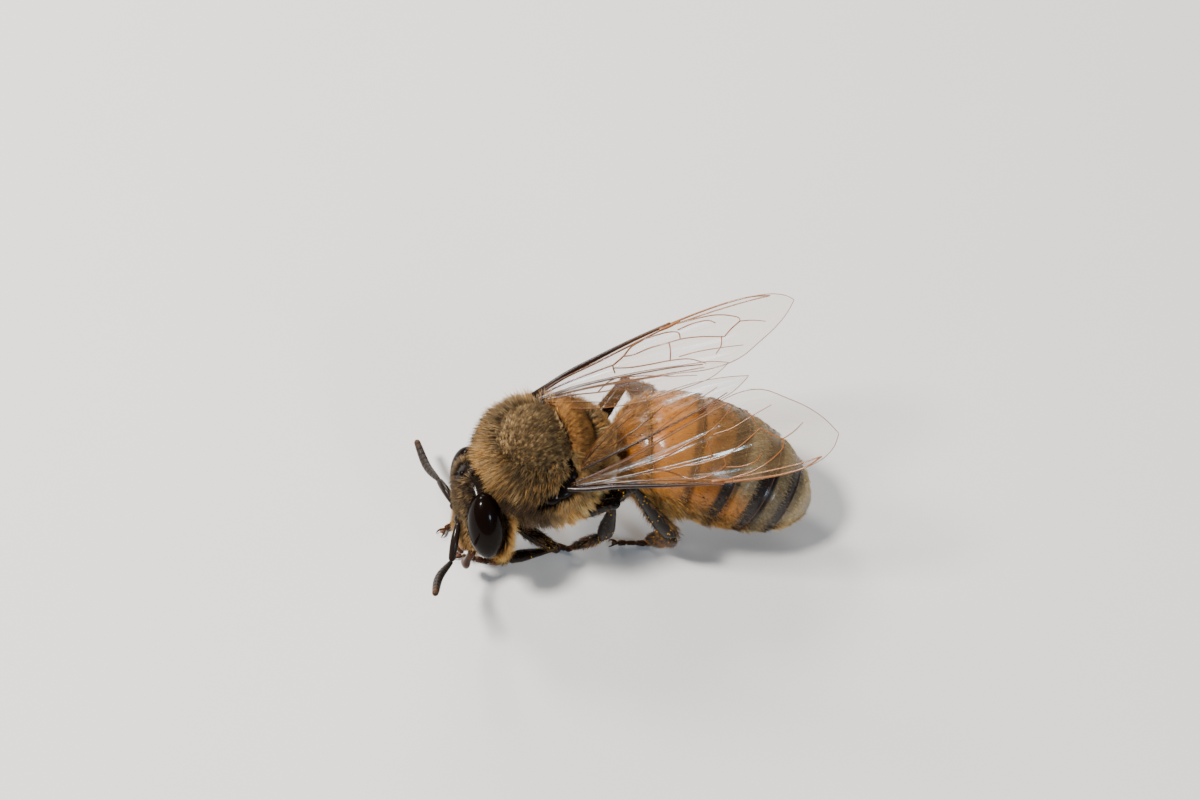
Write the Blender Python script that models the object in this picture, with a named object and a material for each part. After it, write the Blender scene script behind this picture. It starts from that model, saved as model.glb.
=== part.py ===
"""A worker honey bee at life size, standing with its head bent down.

The bee faces -Y, its left side is +X, and its feet rest on the plane z = 0.
Sizes are in millimetres in the body frame, whose origin is the middle of the
thorax, and MM turns them into metres.  Each solid reaches out to the tips of
the coat.  Neighbours meet with the small clearance JOINT_GAP.
"""
import math

import bmesh
import bpy
from mathutils import Matrix, Vector

MM = 0.001

# Stance of the whole body, its bounding box centred over the origin
THORAX_PLACE = (-0.46, -1.64)
THORAX_HEIGHT = 3.9
NOSE_DOWN = 6.0
JOINT_GAP = 0.03
WELD_DISTANCE = 0.0005

# Floor block that gives the feet their flats
FLOOR_BLOCK = (40.0, 40.0, 4.0)
FLOOR_SINK = 0.05

# Head
HEAD_PLACE = (0.22, -2.52, -0.9)
HEAD_NOD = -6.0
HEAD_LEAN = -20.0
HEAD_TURN = -6.0
HEAD_HALF_WIDTH = 1.5
HEAD_CROWN = 1.62
HEAD_CHIN = 1.85
HEAD_FRONT = 0.88
HEAD_BACK = 1.0
EYE_PLACE = (1.38, 0.02, 0.18)
EYE_HALF_SIZE = (0.6, 0.6, 1.16)
EYE_LEAN = 10.0
SOCKET_PLACE = (0.35, -0.8, -0.2)
HEAD_CHEEK = 0.16
HEAD_CHIN_TAPER = 0.12
HEAD_CHIN_FLAT = 0.18

# Mouth, for the left side, in the head frame
MANDIBLE_POINTS = ((0.78, -0.3, -1.3), (0.62, -0.48, -1.8), (0.3, -0.55, -2.12))
MANDIBLE_RADII = (0.27, 0.27, 0.25)
TONGUE_POINTS = ((0.0, -0.02, -1.75), (0.0, 0.3, -1.8), (0.0, 0.62, -1.62))
TONGUE_RADII = (0.28, 0.36, 0.27)

# Feelers: elbow and tip of each side in the body frame
SCAPE_RADIUS = 0.25
FLAGELLUM_RADII = (0.2, 0.25, 0.25)
FEELER_ELBOW = {"left": (1.5, -3.9, -1.6), "right": (-1.45, -3.25, -1.55)}
FEELER_BEND = {"left": (2.1, -4.45, -1.1), "right": (-2.5, -3.35, -2.2)}
FEELER_TIP = {"left": (3.2, -4.95, -0.15), "right": (-3.7, -3.3, -2.45)}

# Thorax with its coat
THORAX_HALF_WIDTH = 2.48
THORAX_HALF_LENGTH = 2.22
THORAX_TOP = 2.28
THORAX_BOTTOM = 1.95
NECK_NARROWING = 0.1
NECK_LOWERING = 0.06
NECK_DROP = 0.05

# Abdomen: a bent axis and the half sizes of its widest ring
ABDOMEN_AXIS = ((0.03, 2.3, -0.85), (0.45, 4.4, -0.75), (1.75, 6.2, -2.35), (2.95, 7.75, -3.5))
ABDOMEN_HALF_WIDTH = 2.08
ABDOMEN_HALF_TOP = 1.78
ABDOMEN_HALF_BOTTOM = 1.86
ABDOMEN_WIDEST = 0.40
ABDOMEN_FRONT_CURVE = (0.98, 2.6, 0.5)
ABDOMEN_REAR_CURVE = (0.985, 2.5, 0.6)
RING_ENDS = (0.0, 0.15, 0.36, 0.56, 0.725, 0.865, 1.0)
RING_STEP = 0.06
RING_STATIONS = ((0.14, 0.35), (0.45, 0.0), (0.75, 0.0))
LAST_RING_STATION = 0.93
RING_SIDES = 24
WAIST_POINTS = ((0.0, 1.8, -0.9), (0.03, 2.5, -0.85))
WAIST_RADIUS = 0.5

# Wings
WING_THICKNESS = 0.5
WING_ROOT = (1.78, 0.05, 0.78)
WING_SWEEP = {"left": 23.5, "right": -1.5}
WING_RISE = {"left": 11.0, "right": 12.5}
WING_ROOF = {"left": 40.0, "right": 24.0}
WING_SCALE = {"left": 0.965, "right": 1.0}
FOREWING_OUTLINE = (
    (0.0, -0.15), (2.5, -0.36), (5.5, -0.4), (8.0, 0.0), (9.0, 0.9),
    (8.5, 1.65), (7.5, 2.25), (6.4, 2.68), (3.2, 1.42), (0.3, 0.35),
)
HINDWING_OUTLINE = (
    (0.75, 0.63), (3.2, 1.52), (5.9, 2.63), (6.35, 2.98), (5.6, 3.12),
    (4.2, 2.92), (2.8, 2.45), (1.5, 1.75), (0.8, 1.1),
)

# Legs, as shares of each segment's radius or length
COXA_TAPER = 0.72
FEMUR_START = 0.7
FEMUR_BELLY = 0.4
KNEE_RADIUS = 0.26
TIBIA_START_RADIUS = 0.22
TIBIA_BELLY = 0.72
TIBIA_END = 0.86
ANKLE_RADIUS = 0.2
TARSUS_BELLY = 0.6
TARSUS_END_RADIUS = 0.25
HIND_FLATNESS = 0.52
LIMB_END = ((0.5, 0.86), (0.9, 0.42))

# Legs: hip, trochanter, knee, ankle and the points of the foot.
# A foot point has only x and y, and lies on the floor.
LEGS = {
    "front_left": {
        "joints": ((0.55, -1.2, -1.5), (0.75, -1.45, -2.05), (1.8, -0.5, -2.6), (1.2, -1.95, -3.2)),
        "foot": ((0.85, -2.55), (0.4, -3.3)),
        "radii": (0.42, 0.3, 0.27, 0.25),
    },
    "front_right": {
        "joints": ((-0.55, -1.2, -1.5), (-0.75, -1.45, -2.05), (-1.8, -0.95, -2.1), (-1.4, -2.1, -3.15)),
        "foot": ((-1.1, -2.65), (-0.75, -3.45)),
        "radii": (0.42, 0.3, 0.27, 0.25),
    },
    "middle_left": {
        "joints": ((0.75, -0.1, -1.6), (1.05, 0.15, -2.0), (2.15, 1.45, -0.42), (2.05, 1.08, -2.42)),
        "foot": ((1.3, 0.1), (0.65, -0.7)),
        "radii": (0.45, 0.32, 0.31, 0.26),
    },
    "middle_right": {
        "joints": ((-0.75, -0.1, -1.6), (-1.05, 0.1, -2.0), (-2.75, 0.85, -1.1), (-3.25, 0.55, -2.95)),
        "foot": ((-3.4, 0.1), (-3.55, -0.9)),
        "radii": (0.45, 0.32, 0.31, 0.26),
    },
    "hind_left": {
        "joints": ((0.8, 1.15, -1.5), (1.1, 1.3, -2.0), (2.12, 2.12, 0.12), (2.95, 3.05, -2.32)),
        "foot": ((1.95, 2.6), (1.6, 1.65)),
        "radii": (0.48, 0.34, 0.56, 0.4),
    },
    "hind_right": {
        "joints": ((-0.8, 1.15, -1.5), (-1.1, 1.3, -2.0), (-2.1, 3.5, -0.65), (-2.65, 4.5, -3.2)),
        "foot": ((-2.25, 5.25), (-1.85, 6.15)),
        "radii": (0.48, 0.34, 0.56, 0.4),
    },
}


def clear_scene():
    for item in list(bpy.data.objects):
        bpy.data.objects.remove(item, do_unlink=True)


def make_collection(name):
    group = bpy.data.collections.new(name)
    bpy.context.scene.collection.children.link(group)
    return group


def make_material(name, color, roughness, metallic=0.0):
    material = bpy.data.materials.new(name)
    material.use_nodes = True
    shader = material.node_tree.nodes["Principled BSDF"]
    shader.inputs["Base Color"].default_value = (*color, 1.0)
    shader.inputs["Roughness"].default_value = roughness
    shader.inputs["Metallic"].default_value = metallic
    material.diffuse_color = (*color, 1.0)
    return material


def make_empty(name, group, parent=None, place=(0, 0, 0), turn=(0, 0, 0)):
    empty = bpy.data.objects.new(name, None)
    group.objects.link(empty)
    empty.parent = parent
    empty.location = Vector(place) * MM
    empty.rotation_euler = [math.radians(angle) for angle in turn]
    return empty


def add_object(name, mesh, group, material, parent):
    mesh.materials.clear()
    mesh.materials.append(material)
    mesh.shade_smooth()
    item = bpy.data.objects.new(name, mesh)
    group.objects.link(item)
    item.parent = parent
    return item


def ball_mesh(name, shape, segments=20, rings=12):
    """A sphere whose points are moved by shape(x, y, z), given in millimetres."""
    bm = bmesh.new()
    bmesh.ops.create_uvsphere(bm, u_segments=segments, v_segments=rings, radius=1.0)
    for vert in bm.verts:
        vert.co = Vector(shape(*vert.co)) * MM
    bmesh.ops.recalc_face_normals(bm, faces=bm.faces)
    mesh = bpy.data.meshes.new(name)
    bm.to_mesh(mesh)
    bm.free()
    return mesh


def loft_mesh(name, rings):
    """A closed skin through rings of equal point counts, given in millimetres."""
    bm = bmesh.new()
    loops = [[bm.verts.new(point * MM) for point in ring] for ring in rings]
    count = len(loops[0])
    for near, far in zip(loops, loops[1:]):
        for i in range(count):
            j = (i + 1) % count
            bm.faces.new((near[i], near[j], far[j], far[i]))
    bm.faces.new(reversed(loops[0]))
    bm.faces.new(loops[-1])
    bmesh.ops.recalc_face_normals(bm, faces=bm.faces)
    mesh = bpy.data.meshes.new(name)
    bm.to_mesh(mesh)
    bm.free()
    return mesh


def mesh_from_curve(name, curve, group, material, parent, matrix=None):
    """Turn curve data into a closed mesh object, its caps welded."""
    guide = bpy.data.objects.new(name + "_curve", curve)
    group.objects.link(guide)
    if matrix is not None:
        guide.matrix_world = matrix
    bpy.context.view_layer.update()
    evaluated = guide.evaluated_get(bpy.context.evaluated_depsgraph_get())
    mesh = bpy.data.meshes.new_from_object(evaluated)
    mesh.name = name
    bm = bmesh.new()
    bm.from_mesh(mesh)
    bmesh.ops.remove_doubles(bm, verts=bm.verts, dist=WELD_DISTANCE * MM)
    bm.transform(guide.matrix_world)
    bmesh.ops.recalc_face_normals(bm, faces=bm.faces)
    bm.to_mesh(mesh)
    bm.free()
    bpy.data.objects.remove(guide, do_unlink=True)
    return add_object(name, mesh, group, material, parent)


def limb(name, points, radii, group, material, parent):
    """A round tapering limb through points, with a rounded far end."""
    points = [Vector(point) for point in points]
    last = (points[-1] - points[-2]).normalized()
    end = [points[-1] + last * radii[-1] * share for share, _ in LIMB_END]
    path = points + end
    widths = [*radii, *(radii[-1] * share for _, share in LIMB_END)]
    curve = bpy.data.curves.new(name, "CURVE")
    curve.dimensions = "3D"
    curve.bevel_depth = MM
    curve.bevel_resolution = 2
    curve.use_fill_caps = True
    spline = curve.splines.new("POLY")
    spline.points.add(len(path) - 1)
    for point, place, width in zip(spline.points, path, widths):
        point.co = (*(place * MM), 1.0)
        point.radius = width
    return mesh_from_curve(name, curve, group, material, parent)


def flatten(item, middle, thin_axis, factor):
    """Squeeze a straight limb along thin_axis about its own middle."""
    thin = Vector(thin_axis).normalized()
    for vert in item.data.vertices:
        depth = (vert.co - Vector(middle) * MM).dot(thin)
        vert.co += thin * depth * (factor - 1.0)


def cut_by(item, others, cutters):
    """Cut item where its neighbours are, with the joint clearance round them."""
    for other in others:
        mesh = other.data.copy()
        mesh.name = item.name + "_less_" + other.name
        normals = [vert.normal.copy() for vert in mesh.vertices]
        for vert, normal in zip(mesh.vertices, normals):
            vert.co += normal * JOINT_GAP * MM
        cutter = bpy.data.objects.new(mesh.name, mesh)
        cutters.objects.link(cutter)
        cutter.parent = other.parent
        cutter.location = other.location
        cutter.rotation_euler = other.rotation_euler
        cutter.hide_render = True
        cutter.display_type = "WIRE"
        add_cut(item, cutter)


def add_cut(item, cutter):
    cut = item.modifiers.new("cut", "BOOLEAN")
    cut.operation = "DIFFERENCE"
    cut.solver = "EXACT"
    cut.object = cutter


def make_floor_cutter(cutters):
    """A block whose top is the floor, which gives the feet their flats."""
    mesh = bpy.data.meshes.new("floor_cutter")
    bm = bmesh.new()
    size = Vector(FLOOR_BLOCK) * MM
    bmesh.ops.create_cube(bm, size=1.0, matrix=Matrix.Diagonal((*size, 1.0)))
    bmesh.ops.translate(bm, vec=(0.0, 0.0, -size.z / 2), verts=bm.verts)
    bm.to_mesh(mesh)
    bm.free()
    cutter = bpy.data.objects.new("floor_cutter", mesh)
    cutters.objects.link(cutter)
    cutter.hide_render = True
    cutter.display_type = "WIRE"
    return cutter


def floor_point(x, y, height):
    """The body frame point over (x, y) at a height above the floor."""
    tilt = math.radians(NOSE_DOWN)
    return Vector((x, y, (height - THORAX_HEIGHT - y * math.sin(tilt)) / math.cos(tilt)))


def thorax_shape(x, y, z):
    """A full ball, a little flatter below and drawn in towards the neck."""
    neck = max(0.0, -y) ** 2
    height = THORAX_TOP if z > 0 else THORAX_BOTTOM
    return (
        x * THORAX_HALF_WIDTH * (1.0 - NECK_NARROWING * neck),
        y * THORAX_HALF_LENGTH,
        z * height * (1.0 - NECK_LOWERING * neck) - NECK_DROP * neck,
    )


def make_thorax(group, material, parent):
    mesh = ball_mesh("thorax", thorax_shape, segments=24, rings=16)
    return add_object("thorax", mesh, group, material, parent)


def head_shape(x, y, z):
    """A heart shaped face, wide at the eyes and narrow at the mouth."""
    chin = max(0.0, -z)
    height = HEAD_CROWN if z > 0 else HEAD_CHIN
    depth = HEAD_FRONT if y < 0 else HEAD_BACK
    fullness = 1.0 + HEAD_CHEEK * (1.0 - z * z) - HEAD_CHIN_TAPER * chin
    return (x * HEAD_HALF_WIDTH * fullness, y * depth * (1.0 - HEAD_CHIN_FLAT * chin), z * height)


def make_head(group, cutters, materials, frame, thorax):
    mesh = ball_mesh("head", head_shape)
    head = add_object("head", mesh, group, materials["face"], frame)
    cut_by(head, [thorax], cutters)
    return head


def eye_shape(x, y, z):
    return Vector((x, y, z)) * Vector(EYE_HALF_SIZE)


def make_eyes(group, cutters, materials, frame, head, thorax):
    for side, sign in (("left", 1), ("right", -1)):
        mesh = ball_mesh("eye", eye_shape, segments=16, rings=10)
        eye = add_object("eye_" + side, mesh, group, materials["eye"], frame)
        eye.location = Vector((EYE_PLACE[0] * sign, *EYE_PLACE[1:])) * MM
        eye.rotation_euler = (0.0, math.radians(-EYE_LEAN * sign), 0.0)
        cut_by(head, [eye], cutters)
        cut_by(eye, [thorax], cutters)


def make_mouth(group, cutters, materials, frame, head):
    """Two closed mandibles, and the tongue folded back under the head."""
    jaws = []
    for side, sign in (("left", 1), ("right", -1)):
        points = [(x * sign, y, z) for x, y, z in MANDIBLE_POINTS]
        jaw = limb("mandible_" + side, points, MANDIBLE_RADII, group, materials["shell"], frame)
        cut_by(jaw, [head], cutters)
        jaws.append(jaw)
    tongue = limb("tongue", TONGUE_POINTS, TONGUE_RADII, group, materials["tongue"], frame)
    cut_by(tongue, [head, *jaws], cutters)


def make_feelers(group, cutters, materials, body, frame, head):
    for side, sign in (("left", 1), ("right", -1)):
        socket = Vector((SOCKET_PLACE[0] * sign, *SOCKET_PLACE[1:])) * MM
        root = frame.matrix_local @ socket / MM
        elbow = FEELER_ELBOW[side]
        scape = limb(
            "antenna_scape_" + side, (root, elbow), (SCAPE_RADIUS, SCAPE_RADIUS),
            group, materials["shell"], body,
        )
        cut_by(scape, [head], cutters)
        flagellum = limb(
            "antenna_flagellum_" + side, (elbow, FEELER_BEND[side], FEELER_TIP[side]),
            FLAGELLUM_RADII, group, materials["shell"], body,
        )
        cut_by(flagellum, [scape, head], cutters)


def bezier_point(control, t):
    a, b, c, d = (Vector(point) for point in control)
    return a * (1 - t) ** 3 + b * 3 * t * (1 - t) ** 2 + c * 3 * t * t * (1 - t) + d * t ** 3


def bezier_direction(control, t):
    a, b, c, d = (Vector(point) for point in control)
    slope = (b - a) * (1 - t) ** 2 + (c - b) * 2 * t * (1 - t) + (d - c) * t * t
    return slope.normalized()


def abdomen_fullness(t):
    """Share of the full girth at t along the axis: blunt in front, tapering behind."""
    if t < ABDOMEN_WIDEST:
        away = (ABDOMEN_WIDEST - t) / ABDOMEN_WIDEST
        reach, bulge, roundness = ABDOMEN_FRONT_CURVE
    else:
        away = (t - ABDOMEN_WIDEST) / (1.0 - ABDOMEN_WIDEST)
        reach, bulge, roundness = ABDOMEN_REAR_CURVE
    return (1.0 - (reach * away) ** bulge) ** roundness


def abdomen_ring(t, step_in, shift=0.0):
    forward = bezier_direction(ABDOMEN_AXIS, t)
    centre = bezier_point(ABDOMEN_AXIS, t) + forward * shift
    up = (Vector((0, 0, 1)) - forward * forward.z).normalized()
    side = forward.cross(up)
    girth = abdomen_fullness(t) - step_in
    ring = []
    for i in range(RING_SIDES):
        angle = math.tau * i / RING_SIDES
        height = ABDOMEN_HALF_TOP if math.sin(angle) > 0 else ABDOMEN_HALF_BOTTOM
        ring.append(
            centre
            + side * math.cos(angle) * ABDOMEN_HALF_WIDTH * girth
            + up * math.sin(angle) * height * girth
        )
    return ring


def make_abdomen(group, cutters, materials, body, thorax):
    """Six rings, each one stepping in where it slides under the ring before it."""
    pieces = []
    for number in range(1, len(RING_ENDS)):
        start = RING_ENDS[number - 1]
        end = RING_ENDS[number]
        span = end - start
        first_step = 0.0 if number == 1 else RING_STEP
        rings = [abdomen_ring(start, first_step, JOINT_GAP)]
        for share, step in RING_STATIONS:
            rings.append(abdomen_ring(start + share * span, first_step * step))
        if end == RING_ENDS[-1]:
            rings.append(abdomen_ring(start + LAST_RING_STATION * span, 0.0))
        rings.append(abdomen_ring(end, 0.0))
        mesh = loft_mesh("abdomen", rings)
        slot = "amber" if number < 4 else "dark_band"
        piece = add_object("abdomen_%d" % number, mesh, group, materials[slot], body)
        pieces.append(piece)
    cut_by(pieces[0], [thorax], cutters)
    waist = limb("waist", WAIST_POINTS, (WAIST_RADIUS, WAIST_RADIUS), group, materials["shell"], body)
    cut_by(waist, [thorax, pieces[0]], cutters)


def wing_matrix(side, sign):
    """Span along local X, chord to the trailing edge along local Y."""
    sweep = math.radians(-WING_SWEEP[side] * sign)
    turn = Matrix.Rotation(sweep, 4, "Z") @ Matrix.Rotation(math.radians(WING_RISE[side]), 4, "X")
    roof = Matrix.Rotation(math.radians(WING_ROOF[side]) * sign, 4, "Y")
    axes = Matrix(((0, -sign, 0, 0), (1, 0, 0, 0), (0, 0, sign, 0), (0, 0, 0, 1)))
    place = Vector((WING_ROOT[0] * sign, *WING_ROOT[1:])) * MM
    return Matrix.Translation(place) @ turn @ roof @ axes @ Matrix.Scale(WING_SCALE[side], 4)


def wing_slab(name, outline, matrix, group, material, body):
    curve = bpy.data.curves.new(name, "CURVE")
    curve.dimensions = "2D"
    curve.fill_mode = "BOTH"
    curve.extrude = WING_THICKNESS * MM / 2
    curve.resolution_u = 3
    spline = curve.splines.new("BEZIER")
    spline.use_cyclic_u = True
    spline.bezier_points.add(len(outline) - 1)
    for point, (along, across) in zip(spline.bezier_points, outline):
        point.co = (along * MM, across * MM, 0.0)
        point.handle_left_type = "AUTO"
        point.handle_right_type = "AUTO"
    return mesh_from_curve(name, curve, group, material, body, matrix)


def make_wings(group, cutters, materials, body, thorax):
    for side, sign in (("left", 1), ("right", -1)):
        matrix = wing_matrix(side, sign)
        forewing = wing_slab(
            "forewing_" + side, FOREWING_OUTLINE, matrix, group, materials["wing"], body
        )
        hindwing = wing_slab(
            "hindwing_" + side, HINDWING_OUTLINE, matrix, group, materials["wing"], body
        )
        cut_by(forewing, [thorax], cutters)
        cut_by(hindwing, [thorax, forewing], cutters)


def make_leg(name, plan, group, cutters, floor, materials, body, thorax):
    hip, hinge, knee, ankle = (Vector(point) for point in plan["joints"])
    coxa_radius, femur_radius, tibia_radius, tarsus_radius = plan["radii"]
    shell = materials["shell"]
    coxa = limb("coxa_" + name, (hip, hinge), (coxa_radius, coxa_radius * COXA_TAPER), group, shell, body)
    cut_by(coxa, [thorax], cutters)

    belly = hinge.lerp(knee, FEMUR_BELLY)
    femur = limb(
        "femur_" + name, (hinge, belly, knee),
        (femur_radius * FEMUR_START, femur_radius, KNEE_RADIUS), group, shell, body,
    )
    cut_by(femur, [coxa, thorax], cutters)

    widest = knee.lerp(ankle, TIBIA_BELLY)
    tibia = limb(
        "tibia_" + name, (knee, widest, ankle),
        (TIBIA_START_RADIUS, tibia_radius, tibia_radius * TIBIA_END), group, shell, body,
    )
    if name.startswith("hind"):
        flatten(tibia, knee, (ankle - knee).cross(Vector((0, 0, 1))), HIND_FLATNESS)
    cut_by(tibia, [femur], cutters)

    heel = floor_point(*plan["foot"][0], TARSUS_END_RADIUS - FLOOR_SINK)
    toe = floor_point(*plan["foot"][1], TARSUS_END_RADIUS - FLOOR_SINK)
    middle = ankle.lerp(heel, TARSUS_BELLY)
    tarsus = limb(
        "tarsus_" + name, (ankle, middle, heel, toe),
        (ANKLE_RADIUS, tarsus_radius, TARSUS_END_RADIUS, TARSUS_END_RADIUS), group, shell, body,
    )
    cut_by(tarsus, [tibia], cutters)
    add_cut(tarsus, floor)


def build():
    clear_scene()
    group = make_collection("honey_bee")
    cutters = make_collection("cutters")
    materials = {
        "coat": make_material("thorax_coat", (0.32, 0.22, 0.1), 0.85),
        "face": make_material("head_coat", (0.16, 0.1, 0.05), 0.8),
        "eye": make_material("eye_gloss", (0.012, 0.008, 0.006), 0.12),
        "shell": make_material("dark_shell", (0.02, 0.012, 0.008), 0.3),
        "amber": make_material("amber_shell", (0.55, 0.24, 0.06), 0.35),
        "dark_band": make_material("banded_shell", (0.12, 0.07, 0.035), 0.4),
        "tongue": make_material("tongue_brown", (0.25, 0.1, 0.03), 0.35),
        "wing": make_material("wing_membrane", (0.6, 0.42, 0.22), 0.2),
    }
    floor = make_floor_cutter(cutters)
    body = make_empty(
        "body_frame", group, place=(*THORAX_PLACE, THORAX_HEIGHT), turn=(NOSE_DOWN, 0.0, 0.0)
    )
    head_frame = make_empty(
        "head_frame", group, parent=body, place=HEAD_PLACE, turn=(HEAD_NOD, HEAD_LEAN, HEAD_TURN)
    )
    bpy.context.view_layer.update()

    thorax = make_thorax(group, materials["coat"], body)
    head = make_head(group, cutters, materials, head_frame, thorax)
    make_eyes(group, cutters, materials, head_frame, head, thorax)
    make_mouth(group, cutters, materials, head_frame, head)
    make_feelers(group, cutters, materials, body, head_frame, head)
    make_abdomen(group, cutters, materials, body, thorax)
    make_wings(group, cutters, materials, body, thorax)
    for name, plan in LEGS.items():
        make_leg(name, plan, group, cutters, floor, materials, body, thorax)
    bpy.context.view_layer.update()


build()
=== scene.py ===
import math

import bmesh
import bpy
import numpy as np
from mathutils import Euler, Matrix, Vector


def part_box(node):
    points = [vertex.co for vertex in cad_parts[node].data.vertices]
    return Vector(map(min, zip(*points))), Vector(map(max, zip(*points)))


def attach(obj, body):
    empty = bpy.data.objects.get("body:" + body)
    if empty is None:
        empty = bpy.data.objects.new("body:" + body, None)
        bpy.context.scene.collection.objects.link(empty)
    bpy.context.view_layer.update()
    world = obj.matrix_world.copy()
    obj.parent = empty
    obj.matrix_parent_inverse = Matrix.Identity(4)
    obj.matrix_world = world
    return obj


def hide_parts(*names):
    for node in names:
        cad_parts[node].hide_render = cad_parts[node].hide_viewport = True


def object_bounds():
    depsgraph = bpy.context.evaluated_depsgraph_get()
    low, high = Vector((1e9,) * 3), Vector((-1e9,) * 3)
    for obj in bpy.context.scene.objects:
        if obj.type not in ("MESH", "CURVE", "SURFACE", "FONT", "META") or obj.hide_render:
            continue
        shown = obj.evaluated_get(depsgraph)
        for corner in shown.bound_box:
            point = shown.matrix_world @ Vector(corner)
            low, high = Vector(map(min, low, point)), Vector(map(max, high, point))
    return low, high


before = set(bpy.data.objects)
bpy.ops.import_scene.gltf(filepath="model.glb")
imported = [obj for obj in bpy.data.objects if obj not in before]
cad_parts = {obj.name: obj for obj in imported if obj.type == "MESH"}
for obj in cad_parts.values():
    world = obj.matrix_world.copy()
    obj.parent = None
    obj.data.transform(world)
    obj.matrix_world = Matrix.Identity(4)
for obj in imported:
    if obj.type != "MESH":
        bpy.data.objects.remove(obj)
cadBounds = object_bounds()
print("frame loaded")

# Body frame: millimetres from the middle of the thorax, x to the bee's left, y to its tail.
stance = {"tilt": 6.0, "centreHeight": 1.945, "unit": 0.001}
thoraxLow, thoraxHigh = (Vector(corner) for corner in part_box("thorax"))
bodyOrigin = (thoraxLow + thoraxHigh) / 2
bodyOrigin.z = thoraxLow.z + stance["centreHeight"] * stance["unit"]
bodyTurn = Matrix.Rotation(math.radians(stance["tilt"]), 4, "X")
bodyToRow = Matrix.Translation(bodyOrigin) @ bodyTurn @ Matrix.Scale(stance["unit"], 4)
floorLevel = cadBounds[0][2]
sides = (("left", 1), ("right", -1))


# Numbers and shapes

def unit(vectors):
    return vectors / np.maximum(np.linalg.norm(vectors, axis=-1, keepdims=True), 1e-9)


def smooth(value, low, high):
    x = np.clip((value - low) / (high - low), 0.0, 1.0)
    return x * x * (3.0 - 2.0 * x)


def fade(value, low, high):
    return 1 - smooth(value, low, high)


def blend(first, second, share):
    first, second = np.asarray(first, float), np.asarray(second, float)
    return first + (second - first) * np.asarray(share)[..., None]


def mirrored(point, sign):
    return (point[0] * sign, *point[1:])


# A smooth curve through values given at stops
def smoothLine(stops, values):
    stops, values = np.asarray(stops, float), np.asarray(values, float)
    slopes = np.gradient(values, stops, axis=0)

    def at(s):
        i = np.clip(np.searchsorted(stops, s) - 1, 0, len(stops) - 2)
        gap = stops[i + 1] - stops[i]
        x = (s - stops[i]) / gap
        if values.ndim > 1:
            gap, x = gap[:, None], x[:, None]
        near = (2 * x**3 - 3 * x**2 + 1) * values[i] + (x**3 - 2 * x**2 + x) * gap * slopes[i]
        far = (3 * x**2 - 2 * x**3) * values[i + 1] + (x**3 - x**2) * gap * slopes[i + 1]
        return near + far

    return at


# The same curve, with stops spaced by the points' own distances
def pathThrough(points):
    points = np.asarray(points, float)
    steps = np.linalg.norm(np.diff(points, axis=0), axis=1)
    stops = np.concatenate([[0.0], np.cumsum(steps)])
    return smoothLine(stops / stops[-1], points), stops[-1]


def directions(a, b):
    polar, turn = np.pi * a, math.tau * b
    return np.stack([np.sin(polar) * np.cos(turn), np.sin(polar) * np.sin(turn), np.cos(polar)], -1)


def placed(points, matrix):
    grid = np.array(matrix)
    return points @ grid[:3, :3].T + grid[:3, 3]


# A surface gives points for a, from pole to pole, and b, once round. This one is soft balls melted together.
def blobSurface(blobs, matrix=Matrix(), power=16.0):
    centres = np.array([centre for centre, _ in blobs], float)
    halves = np.array([half for _, half in blobs], float)

    def surface(a, b):
        heading = directions(a, b)
        slope = heading[:, None, :] / halves
        offset = centres / halves
        square = (slope**2).sum(-1)
        across = (slope * offset).sum(-1)
        room = across**2 - square * ((offset**2).sum(-1) - 1.0)
        reach = np.where(room > 0, (across + np.sqrt(np.maximum(room, 0))) / square, 0.0)
        radius = (np.maximum(reach, 0.0) ** power).sum(-1) ** (1.0 / power)
        return placed(heading * radius[:, None], matrix)

    return surface


def ball(half, matrix):
    return blobSurface([((0, 0, 0), half)], matrix)


# Share of a limb's length at a, closer together at the ends
def alongLimb(a, crowding=0.85):
    return np.clip(a - crowding * np.sin(math.tau * a) / math.tau, 0.0, 1.0)


# A limb: round section along a path, with rounded ends, flattened along thin if asked
def tubeSurface(points, stops, radii, thin=(0, 0, 1), flat=1.0, ends=(1.0, 1.0), bend=np.ones_like):
    path, length = pathThrough(points)
    girth = smoothLine(stops, radii)
    step = 1e-3

    def surface(a, b):
        s = alongLimb(a)
        ahead = unit(path(np.minimum(s + step, 1.0)) - path(np.maximum(s - step, 0.0)))
        side = unit(np.cross(thin, ahead))
        up = np.cross(ahead, side)
        radius = girth(s) * bend(s)
        for gap, end, endRadius in ((s, ends[0], radii[0]), (1 - s, ends[1], radii[-1])):
            past = 1 - np.minimum(gap / (end * endRadius / length), 1)
            radius = radius * np.sqrt(np.clip(1 - past**2, 0, 1))
        turn = math.tau * b
        across = side * np.cos(turn)[:, None] + up * np.sin(turn)[:, None] * flat
        return path(s) + across * radius[:, None]

    return surface


# Materials

class Wire:
    def __init__(self, paint, socket):
        self.paint, self.socket = paint, socket

    def __add__(self, other):
        return self.paint.node("ShaderNodeMath", {"operation": "ADD"}, {0: self, 1: other})

    def __mul__(self, other):
        return self.paint.node("ShaderNodeMath", {"operation": "MULTIPLY"}, {0: self, 1: other})

    __radd__, __rmul__ = __add__, __mul__


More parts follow.
